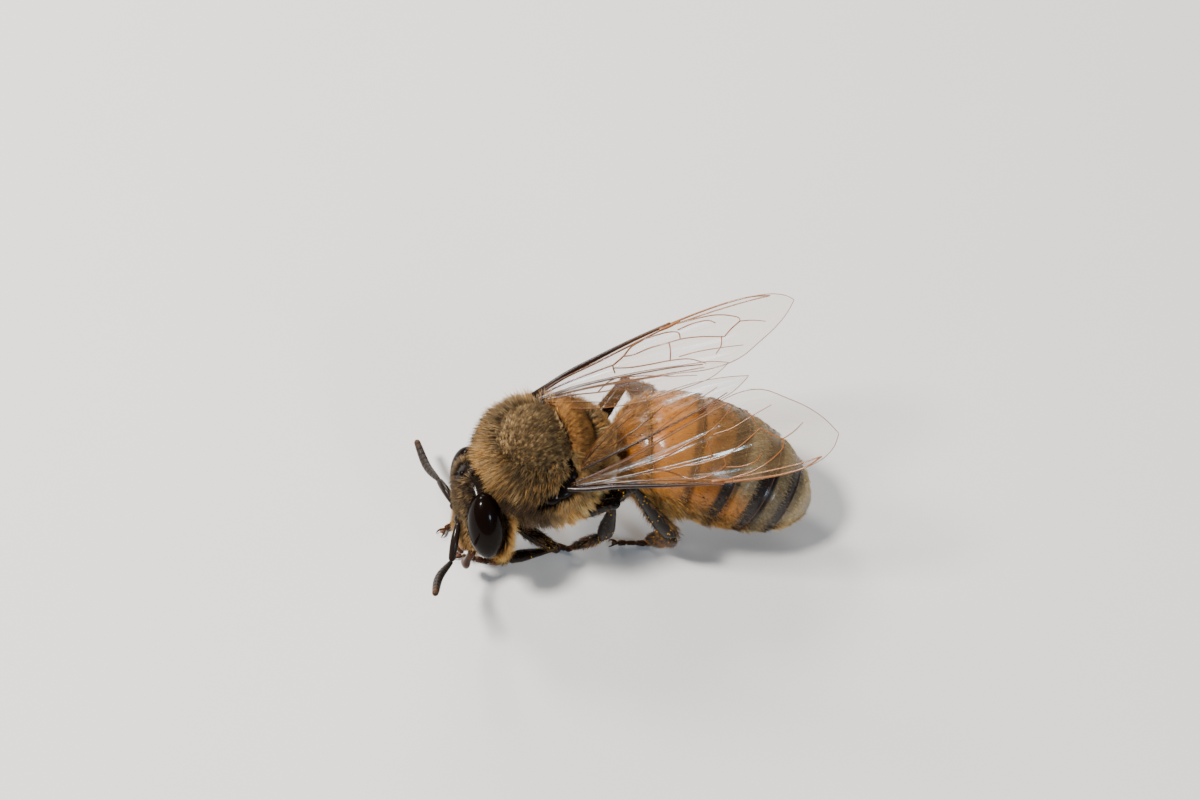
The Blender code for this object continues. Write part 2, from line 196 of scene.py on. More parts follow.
class Paint:
    def __init__(self, name, **fixed):
        self.material = bpy.data.materials.new(name)
        self.material.use_nodes = True
        self.tree = self.material.node_tree
        self.shader = self.tree.nodes["Principled BSDF"]
        self.fill(**fixed)

    def fill(self, **values):
        for key, value in values.items():
            self.put(self.shader.inputs[key.replace("_", " ")], value)

    def put(self, socket, value):
        if isinstance(value, Wire):
            self.tree.links.new(value.socket, socket)
        elif isinstance(value, tuple) and len(value) == 3 and socket.type == "RGBA":
            socket.default_value = (*value, 1.0)
        else:
            socket.default_value = value

    def node(self, kind, settings=None, inputs=None, output=0):
        item = self.tree.nodes.new(kind)
        for key, value in (settings or {}).items():
            setattr(item, key, value)
        for key, value in (inputs or {}).items():
            self.put(item.inputs[key], value)
        return Wire(self, item.outputs[output])

    def where(self):
        return self.node("ShaderNodeTexCoord", output="Object")

    def noise(self, scale, detail=3.0, roughness=0.55, vector=None):
        inputs = {"Vector": vector or self.where(), "Scale": scale, "Detail": detail, "Roughness": roughness}
        return self.node("ShaderNodeTexNoise", None, inputs)

    def cells(self, scale):
        return self.node("ShaderNodeTexVoronoi", None, {"Vector": self.where(), "Scale": scale})

    def attribute(self, name, output="Color"):
        return self.node("ShaderNodeAttribute", {"attribute_name": name}, output=output)

    def mix(self, share, first, second, how="MIX"):
        settings = {"data_type": "RGBA", "blend_type": how}
        return self.node("ShaderNodeMix", settings, {0: share, 6: first, 7: second}, output=2)

    def between(self, value, low, high, start=0.0, end=1.0):
        inputs = {0: value, 1: low, 2: high, 3: start, 4: end}
        return self.node("ShaderNodeMapRange", {"clamp": True}, inputs)

    # color, darkened to shade in the clouds' thick parts
    def mottled(self, color, cloud, thin, most, shade):
        return self.mix(self.between(cloud, thin, 0.7, 0.0, most), color, shade, "MULTIPLY")

    # rough is a pattern and the roughness at its two ends, relief is a height, its strength and its depth
    def finish(self, color, rough, relief=None, **more):
        pattern, smoothest, roughest = rough
        if relief:
            inputs = dict(zip(("Height", "Strength", "Distance"), relief))
            more["Normal"] = self.node("ShaderNodeBump", None, inputs)
        self.fill(Base_Color=color, Roughness=self.between(pattern, 0.3, 0.7, smoothest, roughest), **more)
        return self.material


# Shell plates: the markings of the piece, mottled, with fine pits
def shellMaterial(name, roughness, pitScale, pitDepth, coat, specular):
    paint = Paint(name, Coat_Roughness=0.1, Specular_IOR_Level=specular, Coat_Weight=coat)
    color = paint.mottled(paint.attribute("marking"), paint.noise(900.0, 4.0), 0.35, 0.45, (0.5, 0.45, 0.42))
    return paint.finish(color, (paint.noise(2200.0), roughness * 0.8, roughness * 1.3),
                        (paint.noise(pitScale, 2.0), 0.5, pitDepth))


# Two colours in clouds, with a relief of "noise" or "cells"
def cloudMaterial(name, cloudScale, detail, colors, rough, relief, **fixed):
    paint = Paint(name, **fixed)
    cloud = paint.noise(cloudScale, detail)
    pattern, scale, strength, depth = relief
    height = getattr(paint, pattern)(scale)
    return paint.finish(paint.mix(cloud, *colors), (cloud, *rough), (height, strength, depth))


def hairMaterial(name, roughness):
    paint = Paint(name, Specular_IOR_Level=0.2)
    cloud = paint.noise(2600.0, 2.0)
    color = paint.mottled(paint.attribute("marking"), cloud, 0.3, 0.5, (0.6, 0.55, 0.48))
    return paint.finish(color, (cloud, roughness * 0.85, roughness))


# Clear film with amber near the root, lengthwise streaks and fine wrinkles
def membraneMaterial(name):
    paint = Paint(name, Specular_IOR_Level=0.6, Coat_Weight=0.5, Coat_Roughness=0.08, Thin_Film_Thickness=330.0,
                  Thin_Film_IOR=1.45)
    share, across = paint.attribute("span", "Fac"), paint.attribute("chord", "Fac")
    wrinkle = paint.noise(1500.0, 4.0, 0.6)
    lengthwise = paint.node("ShaderNodeCombineXYZ", None, {"X": share * 5.0, "Y": across * 42.0})
    streak = paint.between(paint.noise(1.0, 2.0, 0.5, lengthwise), 0.54, 0.7)
    color = paint.mix(share, (0.2, 0.06, 0.003), (0.5, 0.33, 0.15))
    height = wrinkle + paint.between(paint.cells(7000.0), 0.0, 0.3, 0.3, 0.0)
    clear = paint.between(share, 0.1, 1.0, 0.1, 0.07)
    return paint.finish(color, (wrinkle, 0.1, 0.22), (height, 0.4, 0.00003),
                        Alpha=clear + streak * paint.between(share, 0.2, 0.9, 0.14, 0.03))


# Nearly black at the root, amber towards the tip
def veinMaterial(name):
    paint = Paint(name, Specular_IOR_Level=0.3, Coat_Weight=0.15, Coat_Roughness=0.1)
    cloud = paint.noise(1800.0)
    share = paint.between(paint.attribute("span", "Fac"), 0.12, 0.6)
    color = paint.mix(share, (0.014, 0.005, 0.003), (0.26, 0.09, 0.02))
    return paint.finish(paint.mottled(color, cloud, 0.35, 0.5, (0.5, 0.4, 0.3)), (cloud, 0.18, 0.32),
                        (paint.noise(9000.0), 0.3, 0.000006))


glossShell = shellMaterial("glossShell", 0.2, 7000.0, 0.000012, coat=0.07, specular=0.07)
satinShell = shellMaterial("satinShell", 0.3, 11000.0, 0.000016, coat=0.03, specular=0.07)
ringShell = shellMaterial("ringShell", 0.3, 9000.0, 0.000012, coat=0.12, specular=0.2)
eyeGloss = cloudMaterial("eyeGloss", 600.0, 2.0, ((0.001, 0.0006, 0.0004), (0.006, 0.0025, 0.0015)), (0.2, 0.3),
                         ("cells", 26000.0, 0.2, 0.000003), Coat_Weight=0.12, Coat_Roughness=0.05,
                         Specular_IOR_Level=0.02)
softHair = hairMaterial("softHair", 0.55)
sleekHair = hairMaterial("sleekHair", 0.38)
wingFilm = membraneMaterial("wingFilm")
wingVein = veinMaterial("wingVein")
pollenDust = cloudMaterial("pollenDust", 3000.0, 3.0, ((0.85, 0.36, 0.01), (1.0, 0.62, 0.05)), (0.5, 0.7),
                           ("cells", 60000.0, 0.5, 0.000006), Specular_IOR_Level=0.3)
paleFloor = cloudMaterial("paleFloor", 60.0, 5.0, ((0.74, 0.72, 0.7), (0.8, 0.78, 0.76)), (0.6, 0.75),
                          ("noise", 4000.0, 0.1, 0.00001), Specular_IOR_Level=0.25)
print("materials made")


# Pieces

def addObject(name, data):
    item = bpy.data.objects.new(name, data)
    bpy.context.scene.collection.objects.link(item)
    return item


# A piece named after a CAD node stands for it
def finishPiece(name, mesh, material, nodes=()):
    mesh.materials.append(material)
    mesh.shade_smooth()
    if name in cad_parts:
        nodes = [name]
    piece = addObject(name + "_shape" if name in nodes else name, mesh)
    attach(piece, "root")
    if nodes:
        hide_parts(*nodes)
    return piece


def meshFrom(bm, name):
    bmesh.ops.recalc_face_normals(bm, faces=bm.faces)
    bm.transform(bodyToRow)
    mesh = bpy.data.meshes.new(name)
    bm.to_mesh(mesh)
    bm.free()
    return mesh


# Adds one closed form to bm: a ball whose points are moved onto the surface
def addBall(bm, surface, around, along):
    fresh = bmesh.ops.create_uvsphere(bm, u_segments=around, v_segments=along, radius=1.0)["verts"]
    start = np.array([vert.co[:] for vert in fresh])
    a = np.arccos(np.clip(start[:, 2], -1.0, 1.0)) / np.pi
    b = np.arctan2(start[:, 1], start[:, 0]) / math.tau % 1.0
    for vert, point in zip(fresh, surface(a, b)):
        vert.co = point
    return fresh, a, b


# One skin of one or more closed forms: forms is a list of (surface, around, along, color)
def makeSkin(name, forms, material, nodes=()):
    bm = bmesh.new()
    layer = bm.verts.layers.float_color.new("marking")
    for surface, around, along, color in forms:
        fresh, a, b = addBall(bm, surface, around, along)
        shades = color(a, b, surface(a, b)) if callable(color) else np.tile(color, (len(a), 1))
        for vert, shade in zip(fresh, shades):
            vert[layer] = (*shade, 1.0)
    return finishPiece(name, meshFrom(bm, name), material, nodes)


# Roots spread evenly over a surface, as thickly as mask says
rootSearch = {"tries": 40000, "step": 1e-3, "ends": (0.004, 0.996), "largestShare": 99.5}


def scatter(surface, count, mask, rng):
    tries, step = rootSearch["tries"], rootSearch["step"]
    found = []
    total = 0
    largest = facing = None
    while total < count:
        a, b = rng.uniform(*rootSearch["ends"], tries), rng.random(tries)
        points = surface(a, b)
        cross = np.cross(surface(a + step, b) - points, surface(a, (b + step) % 1.0) - points)
        area = np.linalg.norm(cross, axis=1)
        if facing is None:
            facing = np.sign((cross * (points - points.mean(axis=0))).sum())
            largest = np.percentile(area, rootSearch["largestShare"])
        keep = rng.random(tries) < np.minimum(area / largest, 1.0) * mask(points, a, b)
        if not keep.any():
            raise ValueError("no room for roots")
        found.append((a[keep], b[keep], points[keep], unit(cross[keep]) * facing))
        total += int(keep.sum())
    return [np.concatenate(part)[:count] for part in zip(*found)]


def everywhere(points, a, b):
    return np.ones(len(points))


# second at a share of the points, at random, and first at the rest
def mixed(first, second, share, points, rng):
    return np.where((rng.random(len(points)) < share)[:, None], second, first)


def spread(value, points):
    return np.broadcast_to(value(points) if callable(value) else value, (len(points),))


# What each bed of hair has unless it says otherwise. A bed gives its stand off the skin, from 0 to 1, and its
# lie, where it bends to. pull draws it into locks, root is the share of the colour left at the skin, vary how
# much locks differ, shared how much of the colour is the lock's, patch a strand's own piece of the map.
strand = {"rings": 2, "droop": 0.35, "messy": 0.2, "pull": 0.25, "root": 0.35, "vary": 0.4, "shared": 0.6,
          "perLock": 14, "sunk": 0.03, "lengths": (0.7, 1.2), "widths": (0.8, 1.2), "tones": (0.75, 1.25),
          "patch": 0.003}


# One bed of hair: closed three-sided strands that bend towards the lie and taper to a point
def growBed(surface, bed):
    bed = {**strand, **bed}
    rng = np.random.default_rng(bed["seed"])
    count, rings, messy = bed["count"], bed["rings"], bed["messy"]
    locks = bed.get("locks", count // bed["perLock"])
    a, b, roots, normals = scatter(surface, count, bed["mask"], rng)
    length = (spread(bed["length"], roots) * rng.uniform(*bed["lengths"], count))[:, None]
    width = bed["width"] * rng.uniform(*bed["widths"], count)
    stand = spread(bed["stand"], roots)[:, None] * np.pi / 2
    lie = bed["lie"](roots) if callable(bed["lie"]) else np.tile(bed["lie"], (count, 1))
    flow = unit(lie - normals * (lie * normals).sum(-1, keepdims=True))
    first = unit(normals * np.sin(stand) + flow * np.cos(stand) + rng.normal(0.0, messy, (count, 3)))
    last = unit(first + flow * bed["droop"] + rng.normal(0.0, messy, (count, 3)))
    base = roots - normals * bed["sunk"]
    elbow = base + first * length * 0.5
    tip = elbow + last * length * 0.5
    centres = rng.choice(count, locks, replace=False)
    nearest = np.concatenate([((part[:, None] - roots[None, centres]) ** 2).sum(-1).argmin(axis=1)
                              for part in np.array_split(roots, 24)])
    middle = tip[centres][nearest]
    tip = tip + (middle - tip) * bed["pull"]
    elbow = elbow + (middle - tip) * bed["pull"] * 0.15
    side = unit(np.cross(first, normals + 0.01 + rng.normal(0.0, 0.3, (count, 3))))
    over = np.cross(first, side)
    levels = np.linspace(0.0, 1.0, rings + 1)
    perStrand = rings * 3 + 1
    points = np.empty((count, perStrand, 3))
    for k, t in enumerate(levels[:-1]):
        middle = base * (1 - t) ** 2 + elbow * 2 * t * (1 - t) + tip * t * t
        radius = (width * 0.5 * (1.0 - 0.5 * t))[:, None]
        for i in range(3):
            angle = math.tau * i / 3
            points[:, k * 3 + i] = middle + (side * math.cos(angle) + over * math.sin(angle)) * radius
    points[:, -1] = tip
    faces = [(0, 2, 1)]
    for low in range(0, rings * 3, 3):
        for i in range(3):
            j = (i + 1) % 3
            if low < rings * 3 - 3:
                faces += [(low + i, low + j, low + 3 + j), (low + i, low + 3 + j, low + 3 + i)]
            else:
                faces.append((low + i, low + j, rings * 3))
    corners = (np.array(faces)[None] + (np.arange(count) * perStrand)[:, None, None]).reshape(-1)
    # darker at the root, full colour towards the tip: partly the hairs' own darker bases, partly painted shade deep in
    # the coat
    level = np.concatenate([np.repeat(levels[:-1], 3), [1.0]])
    tone = rng.uniform(*bed["tones"], count) * rng.uniform(1 - bed["vary"], 1 + bed["vary"], locks)[nearest]
    color = bed["color"]
    own = color(roots, rng) if callable(color) else mixed(*color, roots, rng)
    tint = blend(own, own[centres][nearest], bed["shared"]) * tone[:, None]
    shades = tint[:, None, :] * (bed["root"] + (1.1 - bed["root"]) * level[None, :, None] ** 1.3)
    # one small patch of the skin's own unwrap for each strand
    patch = bed["patch"]
    spots = np.array([((n % 3) / 2, level[n]) for n in range(perStrand)])
    home = np.stack([b, a], -1) * (1.0 - 2 * patch) + patch / 2
    maps = home[:, None, :] + spots[None] * patch
    return points.reshape(-1, 3), corners, np.clip(shades.reshape(-1, 3), 0, 1), maps.reshape(-1, 2)


# A coat is one mesh of one or more beds, each with the skin it grows on
def growCoat(name, beds, material):
    parts = [growBed(surface, bed) for surface, bed in beds]
    starts = np.cumsum([0] + [len(points) for points, *_ in parts])
    corners = np.concatenate([part[1] + start for part, start in zip(parts, starts)])
    points, _, shades, maps = (np.concatenate(part) for part in zip(*parts))
    mesh = bpy.data.meshes.new(name)
    mesh.vertices.add(len(points))
    mesh.vertices.foreach_set("co", placed(points, bodyToRow).astype(np.float32).ravel())
    mesh.loops.add(len(corners))
    mesh.loops.foreach_set("vertex_index", corners.astype(np.int32))
    mesh.polygons.add(len(corners) // 3)
    mesh.polygons.foreach_set("loop_start", np.arange(0, len(corners), 3, dtype=np.int32))
    mesh.update(calc_edges=True)
    full = np.column_stack([shades, np.ones(len(shades))]).astype(np.float32)
    mesh.color_attributes.new("marking", "FLOAT_COLOR", "POINT").data.foreach_set("color", full.ravel())
    layer = mesh.uv_layers.new(name="OFBake")
    layer.data.foreach_set("uv", maps[corners].astype(np.float32).ravel())
    return finishPiece(name, mesh, material)


# Thorax
thorax = {
    "blobs": [
        ((0.0, -0.36, 0.3), (1.7, 1.38, 1.5)),
        ((0.0, -0.95, -0.15), (1.3, 0.95, 1.0)),
        ((0.0, 0.9, 1.0), (1.0, 0.5, 0.7)),
        ((0.0, -0.05, -0.35), (1.74, 1.6, 1.2)),
        ((0.0, 1.3, 0.1), (1.25, 0.78, 0.98)),
    ],
    "power": 18.0,
    "color": (0.016, 0.01, 0.007),
    "scutellum": (0.12, 0.05, 0.014),
    "waist": ((0, 1.5, -0.85), (0.0, 1.95, -0.9), (0.03, 2.5, -0.85)),
    "waistRadii": (0.3, 0.24, 0.34),
    "waistColor": (0.05, 0.025, 0.012),
}
thoraxSurface = blobSurface(thorax["blobs"], power=thorax["power"])


def thoraxColor(a, b, points):
    back = smooth(points[:, 1], 0.7, 0.85) * smooth(points[:, 2], 1.15, 1.4)
    return blend(thorax["color"], thorax["scutellum"], back)


makeSkin("thoraxShell", [(thoraxSurface, 96, 72, thoraxColor)], satinShell, ["thorax"])
waistSurface = tubeSurface(thorax["waist"], (0, 0.5, 1), thorax["waistRadii"])
makeSkin("waistShell", [(waistSurface, 24, 16, thorax["waistColor"])], satinShell, ["waist"])

# Head, with the eyes, the three ocelli and the mouth, which are placed from the head's middle
head = {
    "place": (0.22, -2.52, -0.9),
    "turn": (-6.0, -20.0, -6.0),
    "blobs": [
        ((0.0, 0.02, 0.4), (1.4, 0.68, 1.05)),
        ((0.0, -0.02, -0.45), (1.1, 0.62, 1.15)),
        ((0.0, -0.3, -0.8), (0.66, 0.42, 0.72)),
        ((0.0, -0.1, 0.95), (0.75, 0.5, 0.52)),
        ((1.12, 0.36, -0.15), (0.55, 0.36, 0.95)),
        ((-1.12, 0.36, -0.15), (0.55, 0.36, 0.95)),
    ],
    "color": (0.011, 0.007, 0.005),
}
eye = {"place": (1.36, 0.02, 0.18), "half": (0.6, 0.58, 1.14), "lean": 10.0, "color": (0.02, 0.01, 0.008)}
ocelli = {"places": ((0.0, -0.38, 1.32), (0.27, -0.14, 1.4), (-0.27, -0.14, 1.4)), "radius": 0.13,
          "color": (0.03, 0.02, 0.02)}
mouth = {
    "mandible": ((0.72, -0.3, -1.25), (0.66, -0.48, -1.6), (0.5, -0.55, -1.92), (0.18, -0.56, -2.08)),
    "mandibleColor": (0.05, 0.018, 0.008),
    "labrum": ((0.0, -0.52, -1.45), (0.42, 0.16, 0.2)),
    "labrumColor": (0.09, 0.03, 0.012),
    "tongue": ((0.0, -0.1, -1.6), (0.0, 0.12, -1.82), (0.0, 0.42, -1.8), (0.0, 0.72, -1.58)),
    "tongueShifts": (-0.13, 0.0, 0.13),
    "tongueColor": (0.09, 0.035, 0.012),
}
headTurn = Euler([math.radians(angle) for angle in head["turn"]]).to_matrix().to_4x4()
headPlace = Matrix.Translation(head["place"]) @ headTurn
headSurface = blobSurface(head["blobs"], headPlace)
makeSkin("headShell", [(headSurface, 72, 48, head["color"])], glossShell, ["head"])

for sideName, sign in sides:
    lean = Matrix.Rotation(math.radians(-eye["lean"] * sign), 4, "Y")
    lens = ball(eye["half"], headPlace @ Matrix.Translation(mirrored(eye["place"], sign)) @ lean)
    makeSkin("eye_" + sideName, [(lens, 48, 32, eye["color"])], eyeGloss)
lenses = [ball((ocelli["radius"],) * 3, headPlace @ Matrix.Translation(place)) for place in ocelli["places"]]
makeSkin("ocelli", [(lens, 20, 12, ocelli["color"]) for lens in lenses], eyeGloss)
for sideName, sign in sides:
    points = placed(np.array([mirrored(point, sign) for point in mouth["mandible"]]), headPlace)
    jaw = tubeSurface(points, (0, 0.35, 0.75, 1), (0.22, 0.15, 0.2, 0.13), (0.3 * sign, 1, 0.2), 0.7)
    makeSkin("mandible_" + sideName, [(jaw, 24, 24, mouth["mandibleColor"])], glossShell)
labrum = ball(mouth["labrum"][1], headPlace @ Matrix.Translation(mouth["labrum"][0]))
makeSkin("labrum", [(labrum, 28, 18, mouth["labrumColor"])], glossShell)
tongueForms = []
for shift in mouth["tongueShifts"]:
    points = placed(np.array(mouth["tongue"]) + (shift, 0, 0), headPlace)
    galea = tubeSurface(points, (0, 0.5, 1), (0.14, 0.15, 0.07), (1, 0, 0), 0.8)
    tongueForms.append((galea, 18, 28, mouth["tongueColor"]))
makeSkin("tongue", tongueForms, glossShell)

# Feelers
feeler = {
    "socket": (0.35, -0.66, -0.2),
    "elbow": {"left": (1.5, -3.9, -1.6), "right": (-1.45, -3.25, -1.55)},
    "bend": {"left": (2.1, -4.45, -1.1), "right": (-2.5, -3.35, -2.2)},
    "tip": {"left": (3.2, -4.95, -0.15), "right": (-3.7, -3.3, -2.45)},
    "joints": 10,
    "knob": 0.16,
    "arch": 0.08,
    "scapeRadii": (0.11, 0.09, 0.105, 0.125, 0.1),
    "lashRadii": (0.075, 0.09, 0.112, 0.115, 0.1),
    "scapeColor": (0.016, 0.01, 0.008),
    "knobColor": (0.02, 0.012, 0.008),
    "lashColors": ((0.028, 0.021, 0.018), (0.07, 0.035, 0.018)),
}


# How far s is from the nearest of the joints, from 0 to 1
def fromJoint(s, joints):
    return np.abs((s * joints + 0.5) % 1.0 - 0.5) * 2


def beads(joints, depth, width=0.16):
    return lambda s: 1.0 - depth * np.exp(-((fromJoint(s, joints) / width) ** 2))


def lashColor(a, b, points):
    s = alongLimb(a)
    base = blend(*feeler["lashColors"], smooth(s, 0.75, 1.0))
    return base * (0.45 + 0.55 * smooth(fromJoint(s, feeler["joints"]), 0.05, 0.3))[:, None]


for sideName, sign in sides:
    socket = np.array((headPlace @ Vector(mirrored(feeler["socket"], sign)))[:])
    elbow, bend, tip = (np.array(feeler[key][sideName]) for key in ("elbow", "bend", "tip"))
    middle = (socket + elbow) / 2 + (0, 0, feeler["arch"])
    scape = tubeSurface([socket, middle, elbow], (0, 0.12, 0.2, 0.8, 1), feeler["scapeRadii"])
    knob = ball((feeler["knob"],) * 3, Matrix.Translation(socket))
    makeSkin("antenna_scape_" + sideName, [(scape, 24, 40, feeler["scapeColor"]), (knob, 20, 12, feeler["knobColor"])],
             glossShell)
    lash = tubeSurface([elbow, bend, tip], (0, 0.08, 0.2, 0.9, 1), feeler["lashRadii"],
                       ends=(1.0, 1.2), bend=beads(feeler["joints"], 0.14))
    makeSkin("antenna_flagellum_" + sideName, [(lash, 24, 160, lashColor)], satinShell)
print("head and thorax made")

# Abdomen: rings along a bent axis, each sliding under the one before it
abdomen = {
    "axis": ((0.03, 2.3, -0.85), (0.45, 4.4, -0.75), (1.75, 6.2, -2.35), (2.95, 7.75, -3.5)),
    "half": (2.0, 1.7, 1.78),
    "widest": 0.40,
    "ends": (0.0, 0.15, 0.36, 0.56, 0.725, 0.865, 1.0),
    "step": 0.065,
    "tuck": 0.05,
    "lip": 0.012,
    "turnIn": 0.035,
    # where a ring's plate starts and ends between the poles of its form
    "cut": (0.05, 0.93),
}
amber = np.array((0.46, 0.155, 0.02))
darkBand = np.array((0.012, 0.007, 0.005))
oliveBand = np.array((0.23, 0.17, 0.09))
lipBrown = np.array((0.16, 0.06, 0.02))


def bezier(control, t):
    p = np.asarray(control, float)
    t = t[:, None]
    place = p[0] * (1 - t) ** 3 + p[1] * 3 * t * (1 - t) ** 2 + p[2] * 3 * t * t * (1 - t) + p[3] * t**3
    slope = (p[1] - p[0]) * (1 - t) ** 2 + (p[2] - p[1]) * 2 * t * (1 - t) + (p[3] - p[2]) * t * t
    return place, unit(slope)


def fullness(t):
    widest = abdomen["widest"]
    front = 0.98 * np.clip((widest - t) / widest, 0, 1)
    rear = 0.985 * np.clip((t - widest) / (1 - widest), 0, 1)
    return np.where(t < widest, (1 - front**2.6) ** 0.5, (1 - rear**2.5) ** 0.6)


def upFrom(ahead):
    return unit(np.array((0, 0, 1.0)) - ahead * ahead[:, 2:3])


def abdomenPoint(t, angle, girth):
    centre, ahead = bezier(abdomen["axis"], t)
    up = upFrom(ahead)
    side = np.cross(ahead, up)
    wide, top, bottom = abdomen["half"]
    height = np.where(np.sin(angle) > 0, top, bottom)
    return centre + side * (np.cos(angle) * wide * girth)[:, None] + up * (np.sin(angle) * height * girth)[:, None]


# Where a ring starts and ends along the axis, and where its hidden part starts
def ringStops(number):
    start, end = abdomen["ends"][number - 1:number + 1]
    return start, end, start - (abdomen["tuck"] if number > 1 else 0.0)


def onPlate(a):
    low, high = abdomen["cut"]
    return np.clip((a - low) / (high - low), 0, 1)


# Share of the ring's own length at a, below 0 where it is hidden
def ringShare(number, a):
    start, end, tucked = ringStops(number)
    return (tucked + (end - tucked) * onPlate(a) - start) / (end - start)


# a runs from the hidden front disc over the plate and its lip to the hidden rear disc
def ringSurface(number):
    start, end, tucked = ringStops(number)
    low, high = abdomen["cut"]
    first, last = number == 1, number == 6

    def surface(a, b):
        on = onPlate(a)
        t = tucked + (end - tucked) * on
        t = np.where(a > high, end - 0.006 * smooth(a, high, 1.0) * (not last), t)
        under = abdomen["step"] * fade(t, start - 0.01, start + 0.35 * (end - start)) * (not first)
        girth = np.maximum(fullness(np.clip(t, 0, 1)) - under, 0.02)
        girth = girth + abdomen["lip"] * smooth(on, 0.9, 0.985) * (not last)
        girth = girth - abdomen["turnIn"] * smooth(on, 0.985, 1.0) * (not last)
        girth = girth * smooth(a, -0.02, low) * (1 - smooth(a, high, 1.02) * (a > high))
        girth = np.where((a <= 0.001) | (a >= 0.999), 0.0, girth)
        return abdomenPoint(t, math.tau * b, girth)

    return surface


# Colour of the shell and coat at share s of ring number, at the given angle round the body
def ringMarking(number, s, angle):
    height = np.sin(angle)
    upper = smooth(height, 0.3, 0.8)
    if number == 1:
        color = blend(amber * 0.5, darkBand * 2, smooth(s, 0.7, 1.0) * 0.6)
    elif number == 2:
        color = blend(amber, darkBand, smooth(s, 0.4, 0.8) * 0.25 + smooth(s, 0.78, 0.9) * 0.6)
    elif number == 3:
        color = blend(amber * 0.7, darkBand, smooth(s, -0.1, 0.4) * 0.6 * upper)
        color = blend(color, darkBand, smooth(s, 0.6, 0.74))
    elif number == 4:
        front = blend(amber * 0.85, oliveBand * 0.6, upper)
        color = blend(front, darkBand, smooth(s, 0.5, 0.62))
    elif number == 5:
        color = blend(darkBand * 1.5, oliveBand * 0.5, smooth(s, 0.08, 0.2))
        color = blend(color, darkBand, smooth(s, 0.55, 0.65))
    else:
        color = blend(oliveBand * 1.1, darkBand, smooth(s, 0.8, 1.0) * 0.6)
    color = blend(color, lipBrown, smooth(s, 0.955, 0.975) * (number < 6))
    belly = blend(amber * 0.8, darkBand * 4, smooth(s, 0.75, 0.95) * 0.5)
    return blend(belly, color, smooth(height, -0.55, 0.2))


for number in range(1, 7):
    ringColor = lambda a, b, points: ringMarking(number, np.clip(ringShare(number, a), 0, 1), math.tau * b)
    makeSkin("abdomen_%d" % number, [(ringSurface(number), 112, 56, ringColor)], ringShell)
print("abdomen made")

# Wings: span along local x, chord to the trailing edge along local y
wing = {
    "root": (1.78, 0.05, 0.78),
    "sweep": {"left": 23.5, "right": -1.5},
    "rise": {"left": 11.0, "right": 12.5},
    "roof": {"left": 40.0, "right": 24.0},
    "scale": {"left": 0.965, "right": 1.0},
    # how far the front edge is drawn back along the span, and where it is
    "spans": (0.0, 1.4, 3.3, 4.8, 6.5, 7.7, 9.05),
    "drawn": {"left": (0.05, 0.3, 0.34, 0.24, 0.16, 0.06, 0.0),
              "right": (0.0, -0.1, -0.14, -0.16, -0.14, -0.1, 0.0)},
    "length": 9.0,
    "thickness": 0.03,
    "grid": (110, 36),
    "rim": 0.017,
    "veinGirth": 0.78,
    # the scale over the wing root and the small plates of its hinge: centre, half size and turn
    "plates": (((1.74, -0.42, 0.64), (0.3, 0.4, 0.2), 0.5), ((1.76, -0.1, 0.72), (0.24, 0.38, 0.14), 0.3),
               ((1.62, 0.14, 0.86), (0.28, 0.3, 0.1), 0.4), ((1.4, 0.36, 0.98), (0.26, 0.2, 0.09), 0.5),
               ((1.84, 0.1, 0.7), (0.11, 0.44, 0.11), 0.0)),
    "plateColor": (0.007, 0.004, 0.003),
}
foreLead = [(0.0, -0.12), (1.2, -0.3), (2.5, -0.4), (4.0, -0.46), (5.4, -0.44), (7.0, -0.26), (8.1, 0.08),
            (8.75, 0.5), (9.05, 1.05)]
foreTrail = [(0.15, 0.18), (0.9, 0.42), (2.0, 0.82), (3.2, 1.36), (4.8, 2.1), (6.3, 2.74), (7.5, 2.34),
             (8.45, 1.75), (9.05, 1.05)]
hindLead = [(0.5, 0.4), (1.5, 0.62), (2.6, 1.0), (3.8, 1.5), (4.9, 2.05), (5.8, 2.5), (6.35, 2.98)]
hindTrail = [(0.55, 0.75), (1.1, 1.45), (2.0, 2.15), (3.2, 2.75), (4.6, 3.08), (5.7, 3.17), (6.35, 2.98)]
